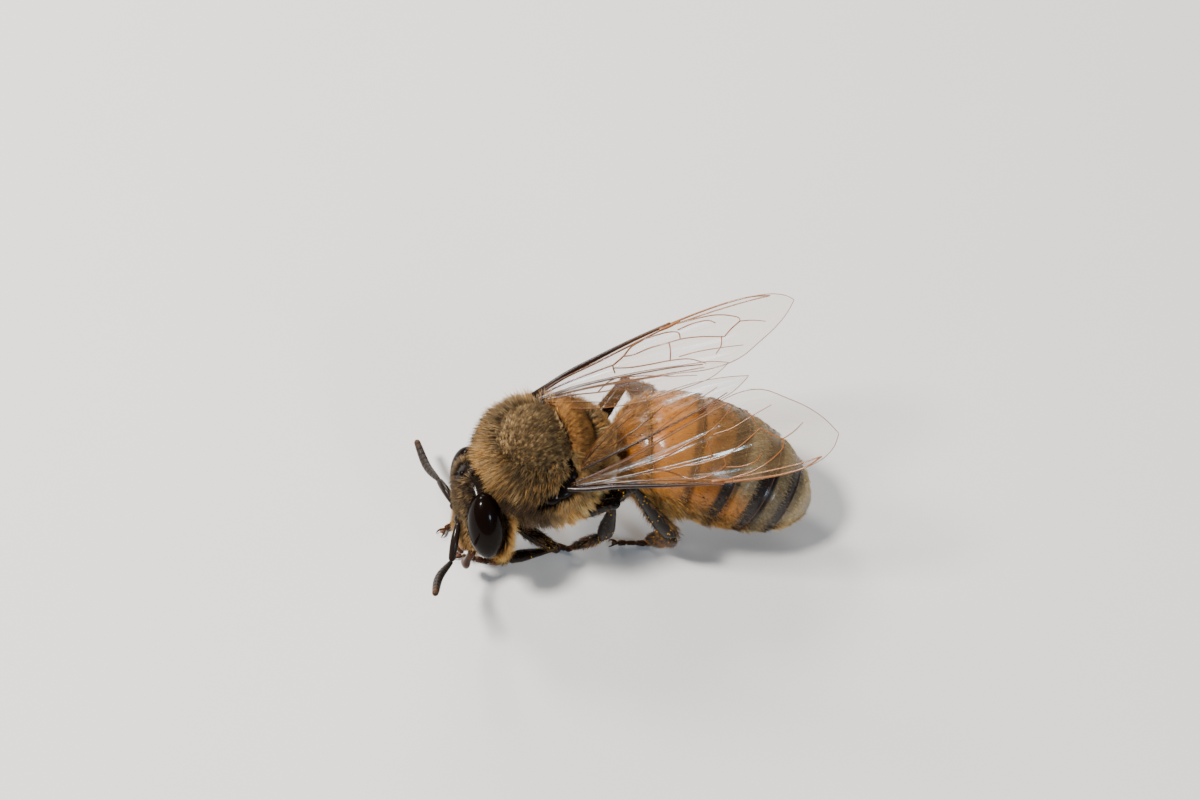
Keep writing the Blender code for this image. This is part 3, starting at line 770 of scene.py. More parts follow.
# each vein's route, and its radius at either end
foreVeins = {
    "costa": ([(-0.15, 0.02), (0.68, -0.2), (1.52, -0.33), (2.5, -0.41), (4.0, -0.47), (5.2, -0.45)], 0.15, 0.07),
    "radius": ([(0.3, 0.05), (1.2, -0.12), (2.5, -0.2), (3.8, -0.29), (4.9, -0.34)], 0.055, 0.035),
    "stigma": ([(4.75, -0.38), (5.1, -0.34), (5.5, -0.36)], 0.085, 0.05),
    "rim": ([(5.2, -0.42), (6.2, -0.34), (7.1, -0.21), (7.9, 0.02), (8.43, 0.34)], 0.05, 0.03),
    "marginal": ([(5.35, -0.3), (6.06, -0.2), (7.01, -0.02), (7.71, 0.14), (8.43, 0.34)], 0.034, 0.028),
    "medial": ([(0.35, 0.06), (1.24, 0.02), (1.8, 0.06), (2.41, 0.13), (2.98, 0.22)], 0.045, 0.036),
    "basal": ([(2.98, 0.22), (3.37, 0.07), (3.7, -0.1), (4.12, -0.27), (4.35, -0.32)], 0.04, 0.034),
    "crossA": ([(2.98, 0.22), (2.95, 0.4), (2.93, 0.62)], 0.04, 0.032),
    "radialSector": ([(4.2, -0.29), (4.62, -0.2), (4.97, -0.04), (5.29, 0.2), (5.26, 0.5)], 0.032, 0.03),
    "firstMedial": ([(3.37, 0.07), (3.63, 0.18), (4.27, 0.25), (4.89, 0.4), (5.24, 0.48), (5.8, 0.8),
                     (6.56, 1.38)], 0.034, 0.026),
    "recurrent": ([(4.89, 0.4), (4.84, 0.85), (4.7, 1.31)], 0.034, 0.03),
    "cubital": ([(2.95, 0.45), (3.49, 0.72), (4.11, 1.05), (4.7, 1.31), (5.3, 1.75), (5.7, 2.2)], 0.036, 0.022),
    "secondSector": ([(5.45, -0.28), (6.19, -0.06), (6.54, 0.12), (6.95, 0.42), (7.23, 0.75), (7.22, 0.97)],
                     0.032, 0.026),
    "secondMedial": ([(5.29, 0.1), (5.9, 0.12), (6.38, 0.34), (6.49, 0.52)], 0.03, 0.026),
    "crossB": ([(7.22, 0.97), (6.89, 1.14), (6.56, 1.38)], 0.03, 0.026),
    "outer": ([(7.22, 0.97), (7.6, 1.2), (7.95, 1.5)], 0.028, 0.016),
    "recurrentTwo": ([(6.49, 1.3), (6.35, 1.7), (6.1, 2.05)], 0.028, 0.022),
    "lowerOuter": ([(5.0, 1.3), (5.6, 1.45), (6.3, 1.8), (7.0, 2.15)], 0.028, 0.016),
    "anal": ([(0.3, 0.2), (1.0, 0.42), (1.88, 0.7), (2.9, 1.12), (3.8, 1.56), (4.8, 2.0), (5.6, 2.35)],
             0.042, 0.026),
}
hindVeins = {
    "costa": ([(0.5, 0.45), (1.5, 0.68), (2.6, 1.06), (3.8, 1.57), (4.9, 2.1), (5.6, 2.5)], 0.045, 0.025),
    "cubital": ([(0.6, 0.6), (1.4, 0.95), (2.2, 1.4), (2.9, 1.85), (3.5, 2.35)], 0.034, 0.02),
    "cross": ([(2.2, 1.4), (2.6, 1.3), (3.0, 1.2)], 0.028, 0.024),
    "medial": ([(3.0, 1.22), (3.8, 1.8), (4.6, 2.35), (5.3, 2.8)], 0.028, 0.016),
    "anal": ([(0.6, 0.75), (1.2, 1.25), (1.9, 1.8), (2.5, 2.2)], 0.028, 0.016),
}


def wingPlace(sideName, sign):
    sweep = Matrix.Rotation(math.radians(-wing["sweep"][sideName] * sign), 4, "Z")
    rise = Matrix.Rotation(math.radians(wing["rise"][sideName]), 4, "X")
    roof = Matrix.Rotation(math.radians(wing["roof"][sideName] * sign), 4, "Y")
    axes = Matrix(((0, -sign, 0, 0), (1, 0, 0, 0), (0, 0, sign, 0), (0, 0, 0, 1)))
    spot = Matrix.Translation(mirrored(wing["root"], sign))
    return spot @ sweep @ rise @ roof @ axes @ Matrix.Scale(wing["scale"][sideName], 4)


# Height of the film over its plane at share x of the span and w of the chord: flutes that fade to the tip
def flutes(x, w, drop):
    waves = np.sin(math.tau * (3.4 * w + 0.1)) * 0.045 + np.sin(math.tau * (8.3 * w + 0.35 * x)) * 0.016
    depth = (0.35 + 0.65 * np.sin(np.pi * np.clip(x * 1.25 + 0.1, 0, 1))) * fade(x, 0.75, 1.0)
    return waves * depth * smooth(w, 0.0, 0.1) * fade(w, 0.9, 1.0) - drop


def wingHeight(u, v, lead, trail, drop):
    stops = np.linspace(0, 1, 241)
    front, rear = lead(stops), trail(stops)
    gap = np.abs(front[None, :, 0] * 0.5 + rear[None, :, 0] * 0.5 - u[:, None])
    frontV, rearV = (np.interp(u, edge[:, 0], edge[:, 1]) for edge in (front, rear))
    w = np.clip((v - frontV) / np.maximum(rearV - frontV, 0.05), 0, 1)
    return flutes(stops[gap.argmin(axis=1)], w, drop)


def makeWing(name, sideName, sign, leadPoints, trailPoints, veins, drop):
    matrix = wingPlace(sideName, sign)
    stops = np.linspace(0, 1, len(leadPoints))

    def bent(points):
        points = np.array(points, float)
        front, rear = (np.interp(points[:, 0], *np.transpose(edge)) for edge in (leadPoints, trailPoints))
        share = np.clip((points[:, 1] - front) / np.maximum(rear - front, 0.1), 0, 1)
        points[:, 1] += np.interp(points[:, 0], wing["spans"], wing["drawn"][sideName]) * (1 - share)
        return points

    def raised(flat, height):
        return placed(np.column_stack([flat, height]), matrix)

    lead, trail = smoothLine(stops, bent(leadPoints)), smoothLine(stops, bent(trailPoints))
    bm = bmesh.new()
    bmesh.ops.create_grid(bm, x_segments=wing["grid"][0], y_segments=wing["grid"][1], size=0.5)
    grid = np.array([vert.co[:2] for vert in bm.verts]) + 0.5
    x = np.sin(grid[:, 0] * np.pi / 2) * 0.6 + grid[:, 0] * 0.4
    w = grid[:, 1]
    flat = lead(x) * (1 - w[:, None]) + trail(x) * w[:, None]
    spanLayer, chordLayer = (bm.verts.layers.float.new(layer) for layer in ("span", "chord"))
    shares = np.clip(flat[:, 0] / wing["length"], 0, 1)
    for vert, point, span, chord in zip(bm.verts, raised(flat, flutes(x, w, drop)), shares, w):
        vert.co = point
        vert[spanLayer], vert[chordLayer] = span, chord
    bmesh.ops.remove_doubles(bm, verts=bm.verts, dist=0.0005)
    shell = finishPiece(name, meshFrom(bm, name), wingFilm).modifiers.new("thickness", "SOLIDIFY")
    shell.thickness = wing["thickness"] * stance["unit"]
    shell.offset = 0.0

    # veins, and a thin one round the edge
    bm = bmesh.new()
    layer = bm.verts.layers.float.new("span")
    for vein, (route, *radii) in veins.items():
        line = bent(route)
        line = raised(line, wingHeight(*line.T, lead, trail, drop))
        tube = tubeSurface(line, (0, 1), [radius * wing["veinGirth"] for radius in radii], flat=0.8)
        fresh, a, _ = addBall(bm, tube, 10, 34)
        for vert, value in zip(fresh, np.interp(a, (0, 1), [route[end][0] / wing["length"] for end in (0, -1)])):
            vert[layer] = value * value * 1.3 if vein == "costa" else value
    for edge in (lead, trail):
        line = edge(np.linspace(0.0, 1.0, 13))
        tube = tubeSurface(raised(line, np.full(len(line), -drop)), (0, 1), (wing["rim"], wing["rim"] * 0.7))
        fresh, a, _ = addBall(bm, tube, 8, 60)
        for vert, value in zip(fresh, a):
            vert[layer] = 0.05 + 0.75 * value
    finishPiece(name + "_veins", meshFrom(bm, name + "_veins"), wingVein)


for sideName, sign in sides:
    makeWing("forewing_" + sideName, sideName, sign, foreLead, foreTrail, foreVeins, 0.0)
    makeWing("hindwing_" + sideName, sideName, sign, hindLead, hindTrail, hindVeins, 0.12)
    plates = []
    for centre, half, turn in wing["plates"]:
        spot = Matrix.Translation(mirrored(centre, sign)) @ Matrix.Rotation(turn * sign, 4, "Y")
        plates.append((ball(half, spot), 26, 16, wing["plateColor"]))
    makeSkin("tegula_" + sideName, plates, glossShell)
print("wings made")

# Legs: hip, trochanter, knee, ankle and the two points of the foot on the floor
legs = {
    "front_left": ((0.55, -1.2, -1.5), (0.75, -1.45, -2.05), (1.8, -0.5, -2.6), (1.2, -1.95, -3.2),
                   (0.85, -2.55), (0.4, -3.3)),
    "front_right": ((-0.55, -1.2, -1.5), (-0.75, -1.45, -2.05), (-1.8, -0.95, -2.1), (-1.4, -2.1, -3.15),
                    (-1.1, -2.65), (-0.75, -3.45)),
    "middle_left": ((0.75, -0.1, -1.6), (1.05, 0.15, -2.0), (2.15, 1.45, -0.42), (2.05, 1.08, -2.42),
                    (1.3, 0.1), (0.65, -0.7)),
    "middle_right": ((-0.75, -0.1, -1.6), (-1.05, 0.1, -2.0), (-2.75, 0.85, -1.1), (-3.25, 0.55, -2.95),
                     (-3.4, 0.1), (-3.55, -0.9)),
    "hind_left": ((0.8, 1.15, -1.5), (1.1, 1.3, -2.0), (2.12, 2.12, 0.12), (2.95, 3.05, -2.32),
                  (1.95, 2.6), (1.6, 1.65)),
    "hind_right": ((-0.8, 1.15, -1.5), (-1.1, 1.3, -2.0), (-2.1, 3.5, -0.65), (-2.65, 4.5, -3.2),
                   (-2.25, 5.25), (-1.85, 6.15)),
}
# radius of coxa, femur, tibia, sole and knee, and how thick tibia and sole are for their width
legSizes = {"front": (0.3, 0.24, 0.2, 0.15, 0.15, 1.0, 1.0), "middle": (0.34, 0.27, 0.27, 0.2, 0.2, 0.85, 0.75),
            "hind": (0.36, 0.28, 0.38, 0.38, 0.19, 0.45, 0.42)}
legDark = (0.006, 0.003, 0.0018)
# claw is its points ahead of the toe, to the side of it and above it
foot = {"radius": 0.095, "color": (0.045, 0.017, 0.008), "beads": (4, 0.45),
        "claw": ((0.0, 0.0, 0.0), (0.14, 0.09, 0.02), (0.26, 0.12, -0.04), (0.29, 0.1, -0.1)),
        "clawRadii": (0.045, 0.035, 0.01), "clawColor": (0.05, 0.02, 0.01),
        "pad": (0.07, 0.07, 0.045), "padAhead": 0.13, "padColor": (0.12, 0.06, 0.03)}


# The body frame point over (x, y) at a height in millimetres above the floor
def floorPoint(x, y, height):
    tilt = math.radians(stance["tilt"])
    middle = (bodyOrigin.z - floorLevel) / stance["unit"]
    return np.array((x, y, (height - middle - y * math.sin(tilt)) / math.cos(tilt)))


def limb(points, stops, radius, shares, *more, **others):
    return tubeSurface(points, stops, [radius * share for share in shares], *more, **others)


legSurfaces = {}
for name, (*joints, heelSpot, toeSpot) in legs.items():
    coxaSize, femurSize, tibiaSize, soleSize, kneeSize, tibiaFlat, soleFlat = legSizes[name.split("_")[0]]
    hip, hinge, knee, ankle = (np.array(point) for point in joints)
    heel = floorPoint(*heelSpot, foot["radius"] + 0.02)
    toe = floorPoint(*toeSpot, foot["radius"] + 0.01)
    soleEnd = ankle + (heel - ankle) * 0.92
    thin = np.cross(ankle - knee, (0, 0, 1))
    coxa = limb([hip, (hip + hinge) / 2, hinge], (0, 0.5, 1), coxaSize, (1, 0.95, 0.6))
    trochanter = tubeSurface([hinge, hinge + unit(knee - hinge) * 0.3], (0, 1), (coxaSize * 0.6, femurSize * 0.75))
    femur = limb([hinge, (hinge + knee) / 2, knee], (0, 0.12, 0.4, 0.85, 1), femurSize, (0.6, 0.8, 1, 0.75, 0.7))
    kneecap = ball((kneeSize,) * 3, Matrix.Translation(knee))
    tibia = limb([knee, (knee + ankle) / 2, ankle], (0, 0.12, 0.45, 0.8, 1), tibiaSize,
                 (0.34, 0.42, 0.75, 1, 0.86), thin, tibiaFlat, (1.0, 0.5))
    sole = limb([ankle, (ankle + soleEnd) / 2, soleEnd], (0, 0.2, 0.6, 1), soleSize, (0.6, 1, 1, 0.62),
                thin, soleFlat)
    foottip = limb([soleEnd, heel, heel + (toe - heel) * 0.5, toe], (0, 0.3, 0.7, 1), foot["radius"],
                   (1, 1.05, 0.8, 1.1), bend=beads(*foot["beads"]))
    ahead = unit(toe - heel)
    across = unit(np.cross(ahead, (0, 0, 1.0)))
    tips = []
    for sign in (-1, 1):
        curl = [toe + ahead * far + across * out * sign + (0, 0, rise) for far, out, rise in foot["claw"]]
        tips.append((tubeSurface(curl, (0, 0.5, 1), foot["clawRadii"]), 10, 14, foot["clawColor"]))
    pad = ball(foot["pad"], Matrix.Translation(toe + ahead * foot["padAhead"]))
    tips.append((pad, 12, 8, foot["padColor"]))
    for part, forms, shell in (
        ("coxa_", [(coxa, 24, 18, legDark)], satinShell),
        ("femur_", [(trochanter, 20, 12, legDark), (femur, 28, 36, legDark), (kneecap, 24, 16, legDark)], glossShell),
        ("tibia_", [(tibia, 40, 44, legDark)], glossShell if "hind" in name else satinShell),
        ("tarsus_", [(sole, 32, 32, legDark), (foottip, 20, 60, foot["color"])] + tips, satinShell),
    ):
        makeSkin(part + name, forms, shell)
    legSurfaces[name] = (femur, tibia, sole, foottip, knee, ankle, heel, toe, hinge)
print("legs made")

# Coats: how thickly each bed grows at points p of its skin, and in what colours
golden = np.array((0.54, 0.265, 0.065))
paleTan = np.array((0.67, 0.44, 0.195))
darkOlive = np.array((0.15, 0.1, 0.048))
rustTan = np.array((0.42, 0.18, 0.05))
darkBrown = np.array((0.04, 0.022, 0.011))
# the bare shell of the thorax: round the wing roots and the shiny pits before the scutellum
bareSpots = (((1.72, -0.4, 0.64), 0.34), ((1.6, 0.12, 0.8), 0.36), ((1.3, 0.38, 1.05), 0.26),
             ((0.75, 0.5, 1.45), 0.12), ((0.95, 0.47, 1.32), 0.16), ((1.12, 0.42, 1.2), 0.2))


def near(points, centre, radius):
    return fade(np.linalg.norm(points - centre, axis=1), radius * 0.8, radius * 1.2)


def bareThorax(p):
    mirror = np.column_stack([np.abs(p[:, 0]), p[:, 1:]])
    return 1 - np.clip(sum(near(mirror, centre, radius) for centre, radius in bareSpots), 0, 1)


def discShare(p, *spot):
    x, y, z = p.T
    return fade(np.hypot(x / 1.42, (y + 0.32) / 1.3), 0.66, 1.12) * smooth(z, 0.6, 1.0) * fade(y, 0.55, 0.62)


def scutellumShare(p):
    return smooth(p[:, 1], 0.6, 0.68) * smooth(p[:, 2], 1.0, 1.15)


def rearShare(p, *spot):
    return smooth(p[:, 1], 0.9, 1.2) * fade(p[:, 2], 0.95, 1.05) * smooth(p[:, 2], -0.7, -0.4)


def rimShare(p, *spot):
    x, y, z = p.T
    taken = np.maximum(np.maximum(discShare(p), scutellumShare(p)), rearShare(p))
    behind = smooth(y, 0.15, 0.4) * smooth(z, 1.15, 1.35)
    return (1 - taken) * (1 - behind) * smooth(z, 0.0, 0.35) * bareThorax(p)


# long pale fringe, mostly left out where the shoulder and flank shade is painted
def fringeShare(p, *spot):
    dark = np.maximum(paintedFrontFlankShade(p), 0.7 * paintedShoulderShade(p))
    return rimShare(p) * (1 - 0.9 * dark) * fade(p[:, 2], 1.0, 1.4)


def sideShare(p, *spot):
    return fade(p[:, 2], 0.0, 0.35) * (1 - rearShare(p)) * smooth(p[:, 2], -1.5, -1.1) * bareThorax(p)


def outward(p):
    return unit(p * (1.0, 1.0, 0.5))


# Painted shade: the hair low on the front of each flank, behind the head, is darkened where the shade falls
def paintedFrontFlankShade(p):
    return smooth(np.abs(p[:, 0]), 0.3, 1.1) * fade(p[:, 1], -0.8, -0.2) * fade(p[:, 2], 0.5, 1.0)


# Painted shade: darkens the hair on the front of each side of the thorax, below the top
def paintedShoulderShade(p):
    return smooth(np.abs(p[:, 0]), 0.4, 1.0) * fade(p[:, 2], 1.2, 1.6) * fade(p[:, 1], -0.6, 0.0)


# rim hair: golden and pale tan, more dark olive towards the top, darkened by the painted shoulder shade and the
# painted flank shade
def rimColor(p, rng):
    color = mixed(golden * 0.9, paleTan * 0.75, 0.5, p, rng)
    color = blend(color, darkOlive, 0.75 * (rng.random(len(p)) < 0.25 + 0.6 * smooth(p[:, 2], 0.8, 1.3)))
    return blend(blend(color, darkOlive * 0.6, 0.8 * paintedShoulderShade(p)), darkBrown * 1.3, 0.95 * paintedFrontFlankShade(p))


# the disc's hair is darkened at its front sides by the painted shoulder shade
def discColor(p, rng):
    color = mixed(darkOlive * (1.0, 0.9, 0.8), paleTan * 0.7, 0.3 + 0.3 * (1 - discShare(p)), p, rng)
    return blend(color, darkOlive * 0.6, 0.6 * paintedShoulderShade(p))


# pale tan and golden flank hair, made brighter than its own colour as painted light against the shade under the wing,
# and darkened by the painted flank shade at the front
def sideColor(p, rng):
    return blend(mixed(golden * 1.6, paleTan * 1.6, 0.6, p, rng), darkBrown * 1.3, 0.9 * paintedFrontFlankShade(p))


thoraxBeds = {
    "disc": dict(count=15500, seed=21, mask=lambda p, *spot: discShare(p) * bareThorax(p) * (1 - scutellumShare(p)),
                 lie=(0.0, 1.0, -0.1), length=0.27, width=0.024, stand=0.6, root=0.08, locks=1500, pull=0.35,
                 vary=0.6, messy=0.14, color=discColor),
    "scutellum": dict(count=6000, seed=26, mask=lambda p, *spot: scutellumShare(p) * bareThorax(p),
                      lie=lambda p: p * (0.5, 0, 0) + (0.0, 1.0, 0.0), length=0.32, width=0.022, stand=0.42,
                      root=0.2, locks=420, pull=0.35, color=(rustTan, golden, 0.5)),
    "rear": dict(count=3000, seed=27, mask=rearShare, lie=lambda p: outward(p) + (0.0, 0.2, 0.9), length=0.56,
                 width=0.027, stand=0.34, droop=0.9, rings=3, root=0.05, locks=170, pull=0.6,
                 color=(golden, paleTan, 0.5)),
    "under": dict(count=2500, seed=28, mask=lambda p, *spot: fade(p[:, 2], -1.5, -1.1), lie=(0.0, 1.0, 0.0),
                  length=0.35, width=0.022, stand=0.5, color=(golden, paleTan, 0.5)),
}
# these grow on each half in a mesh of its own
halfBeds = {
    "rim": [dict(count=6800, seed=22, mask=rimShare, lie=lambda p: outward(p) + (0.0, -0.05, 0.0),
                 length=lambda p: 0.5 + 0.26 * fade(p[:, 2], 0.3, 1.3), width=0.026, stand=0.74, droop=0.2,
                 rings=3, root=0.04, locks=1300, pull=0.3, messy=0.13, vary=0.5, color=rimColor),
            dict(count=900, seed=32, mask=fringeShare, lie=lambda p: outward(p) + (0.0, -0.05, 0.1), length=0.74,
                 width=0.014, stand=0.82, droop=0.1, rings=3, root=0.2, messy=0.1, vary=0.3,
                 color=(paleTan * 0.95, golden, 0.5))],
    "side": [dict(count=5600, seed=22, mask=sideShare, lie=lambda p: outward(p) * 0.35 + (0.0, 0.4, -1.0),
                  length=0.8, width=0.029, stand=0.4, rings=3, root=0.04, locks=420, pull=0.55, vary=0.45,
                  messy=0.12, color=sideColor)],
}


# The part of a bed on the side of the body that sign gives
def halfOf(bed, index, sign):
    mask = bed["mask"]
    return dict(bed, seed=bed["seed"] + index, mask=lambda p, *spot: mask(p) * (p[:, 0] * sign > 0))


for part, bed in thoraxBeds.items():
    growCoat("thoraxCoat_" + part, [(thoraxSurface, bed)], softHair)
for index, (sideName, sign) in enumerate(sides):
    for part, beds in halfBeds.items():
        growCoat("thoraxCoat_%s_%s" % (part, sideName), [(thoraxSurface, halfOf(bed, index, sign)) for bed in beds],
                 softHair)
print("thorax coat grown")


# Head: short fuzz on the face and cheeks, bare gloss from the ocelli down to the eyes
def inHead(p):
    return placed(p, headPlace.inverted())


def headShare(p, *spot):
    local = inHead(p)
    fromEye = np.abs(local * (1, 0, 0)) + local * (0, 1, 1) - eye["place"]
    clear = smooth(((fromEye / eye["half"] / (1.12, 1.15, 1.08)) ** 2).sum(-1), 0.95, 1.1)
    band = smooth(local[:, 1], -0.18, -0.06) * smooth(local[:, 2], 0.55, 0.8) * fade(local[:, 1], 0.42, 0.5)
    return clear * (1 - band) * (1 - near(local, (0.0, -0.24, 1.4), 0.36))


def cheekShare(p, *spot):
    x, y, z = inHead(p).T
    return headShare(p) * smooth(y, 0.15, 0.35) * smooth(np.abs(x), 0.5, 0.9)


def headColor(p, rng):
    x, y, z = inHead(p).T
    color = blend(paleTan * (0.95, 0.8, 0.6), darkOlive * 0.9, smooth(z, -0.9, 0.3))
    color = blend(color, darkBrown * 2.4, smooth(z, 0.3, 0.9) * (0.5 + 0.5 * rng.random(len(p))))
    color = np.where((rng.random(len(p)) < 0.16)[:, None], paleTan * 0.7, color)
    color = blend(color, paleTan * 0.9, 0.5 * smooth(np.abs(x), 0.6, 1.0) * fade(z, 0.3, 0.8))
    return blend(color, paleTan, smooth(y, 0.1, 0.35) * (1 - 0.5 * smooth(z, 0.8, 1.2)))


headBeds = (
    dict(count=10500, seed=36, mask=headShare, lie=lambda p: (p - head["place"]) * (0.4, 0.4, 0.2) + (0.0, 0.0, -0.5),
         length=lambda p: 0.24 + 0.06 * smooth(inHead(p)[:, 2], 0.6, 1.3), width=0.016, stand=0.72, root=0.12,
         locks=900, pull=0.3, color=headColor),
    dict(count=4200, seed=37, mask=cheekShare, lie=lambda p: (p - head["place"]) * (1.0, 0.0, 0.6) + (0.0, 0.6, -0.2),
         length=0.5, width=0.018, stand=0.55, root=0.15, locks=260, pull=0.4,
         color=(paleTan * (1.6, 1.2, 0.9), golden * 1.9, 0.5)),
)
growCoat("headCoat", [(headSurface, bed) for bed in headBeds], softHair)
print("head coat grown")

# Abdomen: streaks of fine hair along the plates, pale bands, long hair on the flanks and belly.
# pale and dark are the colour of a rear ring's band and where along the ring it ends.
ringCoat = {"counts": (4000, 6500, 6800, 6300, 5000, 3400), "width": 0.016, "seed": 50,
            "pale": {4: oliveBand * 1.9, 5: oliveBand * 1.9, 6: paleTan * 1.4},
            "dark": {2: (0.78, 0.9), 3: (0.6, 0.74), 4: (0.5, 0.62), 5: (0.55, 0.65), 6: (0.85, 1.2)}}


def onRing(number, p):
    t = np.linspace(0, 1, 121)
    axis, ahead = bezier(abdomen["axis"], t)
    nearest = ((p[:, None] - axis[None]) ** 2).sum(-1).argmin(axis=1)
    start, end, _ = ringStops(number)
    away, ahead = p - axis[nearest], ahead[nearest]
    up = upFrom(ahead)
    angle = np.arctan2((away * up).sum(-1), (away * np.cross(ahead, up)).sum(-1))
    return np.clip((t[nearest] - start) / (end - start), 0, 1), angle, ahead, unit(away)


def flank(angle):
    return fade(np.sin(angle), -0.35, 0.45)


def ringBed(number):
    def cover(p, a, b):
        s, side = ringShare(number, a), flank(math.tau * b)
        if number < 4:
            thick = (0.5, 0.35, 0.7)[number - 1] + (0.5, 0.4, 0.4)[number - 1] * side
        else:
            thick = 0.3 + 0.7 * fade(s, 0.5, 0.62) + 0.3 * side
        return (s > 0.02) * (a < 0.92) * np.clip(thick, 0, 1)

    def color(p, rng):
        s, angle, _, _ = onRing(number, p)
        dark = smooth(s, *ringCoat["dark"][number]) if number > 1 else s * 0
        if number < 4:
            shade = mixed(golden * 1.3, darkBrown * 1.6, 0.55 if number == 3 else 0.15, p, rng)
            shade = blend(shade, darkBand * 2, dark * (rng.random(len(p)) < 0.75))
            pale = mixed(golden * 1.6, paleTan * 1.3, 0.35, p, rng)
            return blend(shade, pale, 0.75 * flank(angle) * (1 - 0.7 * dark))
        dark = dark * (rng.random(len(p)) < 0.85)
        shade = blend(mixed(ringCoat["pale"][number], golden, 0.08, p, rng), darkBand * 3, dark)
        if number == 4:
            shade = blend(shade, golden * 1.1, (1 - dark) * fade(np.sin(angle), 0.2, 0.8))
        return blend(shade, golden * 1.2, 0.6 * fade(np.sin(angle), -0.7, -0.1))

    def length(p):
        longer = (0.38, 0.38, 0.18, 0.08, 0.08, 0.08)[number - 1]
        return 0.2 + longer * flank(onRing(number, p)[1]) + 0.14 * (number == 1)

    def lie(p):
        _, _, ahead, away = onRing(number, p)
        return ahead + away * 0.1

    return dict(count=ringCoat["counts"][number - 1], seed=ringCoat["seed"] + number, mask=cover, lie=lie,
                length=length, width=ringCoat["width"], stand=lambda p: 0.16 + 0.26 * flank(onRing(number, p)[1]),
                root=0.3, messy=0.1, perLock=6, pull=0.35, color=color)


for number in range(1, 7):
    growCoat("abdomenCoat_%d" % number, [(ringSurface(number), ringBed(number))], sleekHair)
print("abdomen coat grown")


# Legs: bristles along every segment, the fringe of the pollen basket and the brush of the sole
def bristles(count, seed, ahead, length, color, stand=0.3, mask=everywhere):
    return dict(count=count, seed=seed, mask=mask, lie=ahead, length=length, width=0.014, stand=stand, root=0.4,
                messy=0.15, color=(color, darkBrown * 1.5, 0.35))


def basketEdge(p, a, b):
    return (np.abs(np.cos(math.tau * b)) > 0.84) * smooth(a, 0.15, 0.4)


for index, (name, parts) in enumerate(legSurfaces.items()):
    femur, tibia, sole, foottip, knee, ankle, heel, toe, hinge = parts
    hind = "hind" in name
    down = unit(ankle - knee)
    beds = [(femur, bristles(420, 60 + index, unit(knee - hinge), 0.24, golden * 0.6)),
            (tibia, bristles(350 if hind else 700, 70 + index, down, 0.15, darkBrown * 3, 0.2)),
            (sole, bristles(800 if hind else 600, 80 + index, unit(heel - ankle), 0.2, rustTan, 0.4)),
            (foottip, bristles(260, 90 + index, unit(toe - heel), 0.1, rustTan * 0.6, 0.35))]
    if hind:
        beds.append((tibia, bristles(420, 100 + index, down, 0.34, golden * 0.8, 0.4, basketEdge)))
    growCoat("legHair_" + name, beds, sleekHair)
print("leg hair grown")

# Pollen: small grains caught on the legs, the back of the head and, smaller, high in the thorax's hair
pollen = {"radius": 0.018, "legs": 18, "hindLegs": 36, "head": 60, "thorax": 50, "seed": 131,
          "lift": 0.01, "thoraxLift": 0.18, "thoraxScale": 0.5}


def backOfHead(p, a, b):
    x, y, z = inHead(p).T
    return (y > 0.15) * (z > 0.5)


rng = np.random.default_rng(pollen["seed"])
grains = []
for name, parts in legSurfaces.items():
    for part in parts[:3]:
        grains.append(scatter(part, pollen["hindLegs" if "hind" in name else "legs"], everywhere, rng)[2:])
grains.append(scatter(headSurface, pollen["head"], backOfHead, rng)[2:])
grains.append(scatter(thoraxSurface, pollen["thorax"], discShare, rng)[2:])
bm = bmesh.new()
for points, normals in grains:
    high = points is grains[-1][0]
    lift = pollen["thoraxLift" if high else "lift"]
    for point, normal in zip(points, normals):
        size = pollen["radius"] * rng.uniform(0.6, 1.2) * (pollen["thoraxScale"] if high else 1.0)
        place = Matrix.Translation(point + normal * (lift + size * 0.5)) @ Matrix.Scale(size, 4)
        bmesh.ops.create_icosphere(bm, subdivisions=1, radius=1.0, matrix=place)
finishPiece("pollenGrains", meshFrom(bm, "pollenGrains"), pollenDust)
print("pollen strewn")

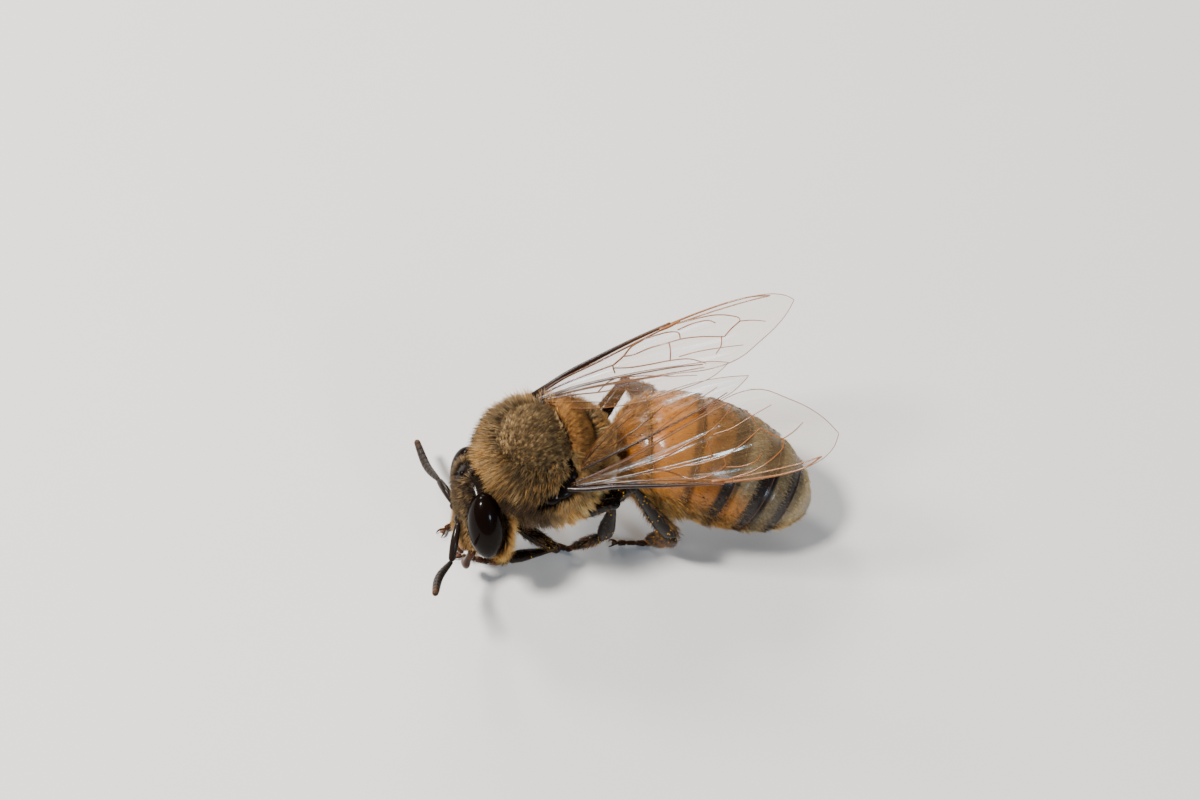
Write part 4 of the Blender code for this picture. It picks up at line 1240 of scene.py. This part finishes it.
# Floor, camera, lights and sky: metres from here on, but right and up, the camera's aim, are millimetres
stage = {"floorSize": 1.5, "floorDrop": 0.00002, "skyColor": (0.93, 0.95, 1.0, 1.0), "skyStrength": 0.2}
view = {"azimuth": 72.0, "elevation": 58.0, "roll": -4.0, "lens": 100.0, "sensor": 36.0, "distance": 0.106,
        "right": 1.70, "up": 1.84, "nearest": 0.002, "farthest": 5.0}
lamps = {
    "keyLight": {"place": (-0.02, -0.112, 0.165), "size": 0.035, "power": 0.78, "color": (1.0, 0.96, 0.9)},
    "eyeLight": {"place": (0.2, 0.065, 0.124), "size": 0.045, "power": 0.2, "color": (0.6, 0.8, 1.0)},
    "wingLight": {"place": (-0.15, -0.05, 0.124), "size": 0.05, "power": 0.26, "color": (1.0, 0.98, 0.95)},
    "backLight": {"place": (-0.19, 0.06, 0.07), "size": 0.1, "power": 0.26, "color": (1.0, 0.95, 0.85)},
}
bm = bmesh.new()
bmesh.ops.create_grid(bm, x_segments=8, y_segments=8, size=stage["floorSize"])
mesh = bpy.data.meshes.new("floor")
bm.to_mesh(mesh)
bm.free()
mesh.materials.append(paleFloor)
floorPiece = addObject("floor", mesh)
floorPiece.location.z = floorLevel - stage["floorDrop"]

aim = Matrix()
for angle, axis in ((view["azimuth"], "Z"), (90.0 - view["elevation"], "X"), (view["roll"], "Z")):
    aim = aim @ Matrix.Rotation(math.radians(angle), 4, axis)
target = bodyToRow @ (aim @ Vector((view["right"], view["up"], 0.0)))
cameraData = bpy.data.cameras.new("camera")
cameraData.lens, cameraData.sensor_width = view["lens"], view["sensor"]
cameraData.clip_start, cameraData.clip_end = view["nearest"], view["farthest"]
camera = addObject("camera", cameraData)
camera.matrix_world = Matrix.Translation(target) @ bodyTurn @ aim @ Matrix.Translation((0, 0, view["distance"]))
bpy.context.scene.camera = camera

for name, lamp in lamps.items():
    light = bpy.data.lights.new(name, "AREA")
    light.shape, light.size, light.energy, light.color = "DISK", lamp["size"], lamp["power"], lamp["color"]
    place = Vector(lamp["place"])
    facing = place.to_track_quat("Z", "Y").to_matrix().to_4x4()
    addObject(name, light).matrix_world = Matrix.Translation(place) @ facing
world = bpy.data.worlds.new("studio")
world.use_nodes = True
sky = world.node_tree.nodes["Background"].inputs
sky["Color"].default_value, sky["Strength"].default_value = stage["skyColor"], stage["skyStrength"]
bpy.context.scene.world = world
print("stage set")
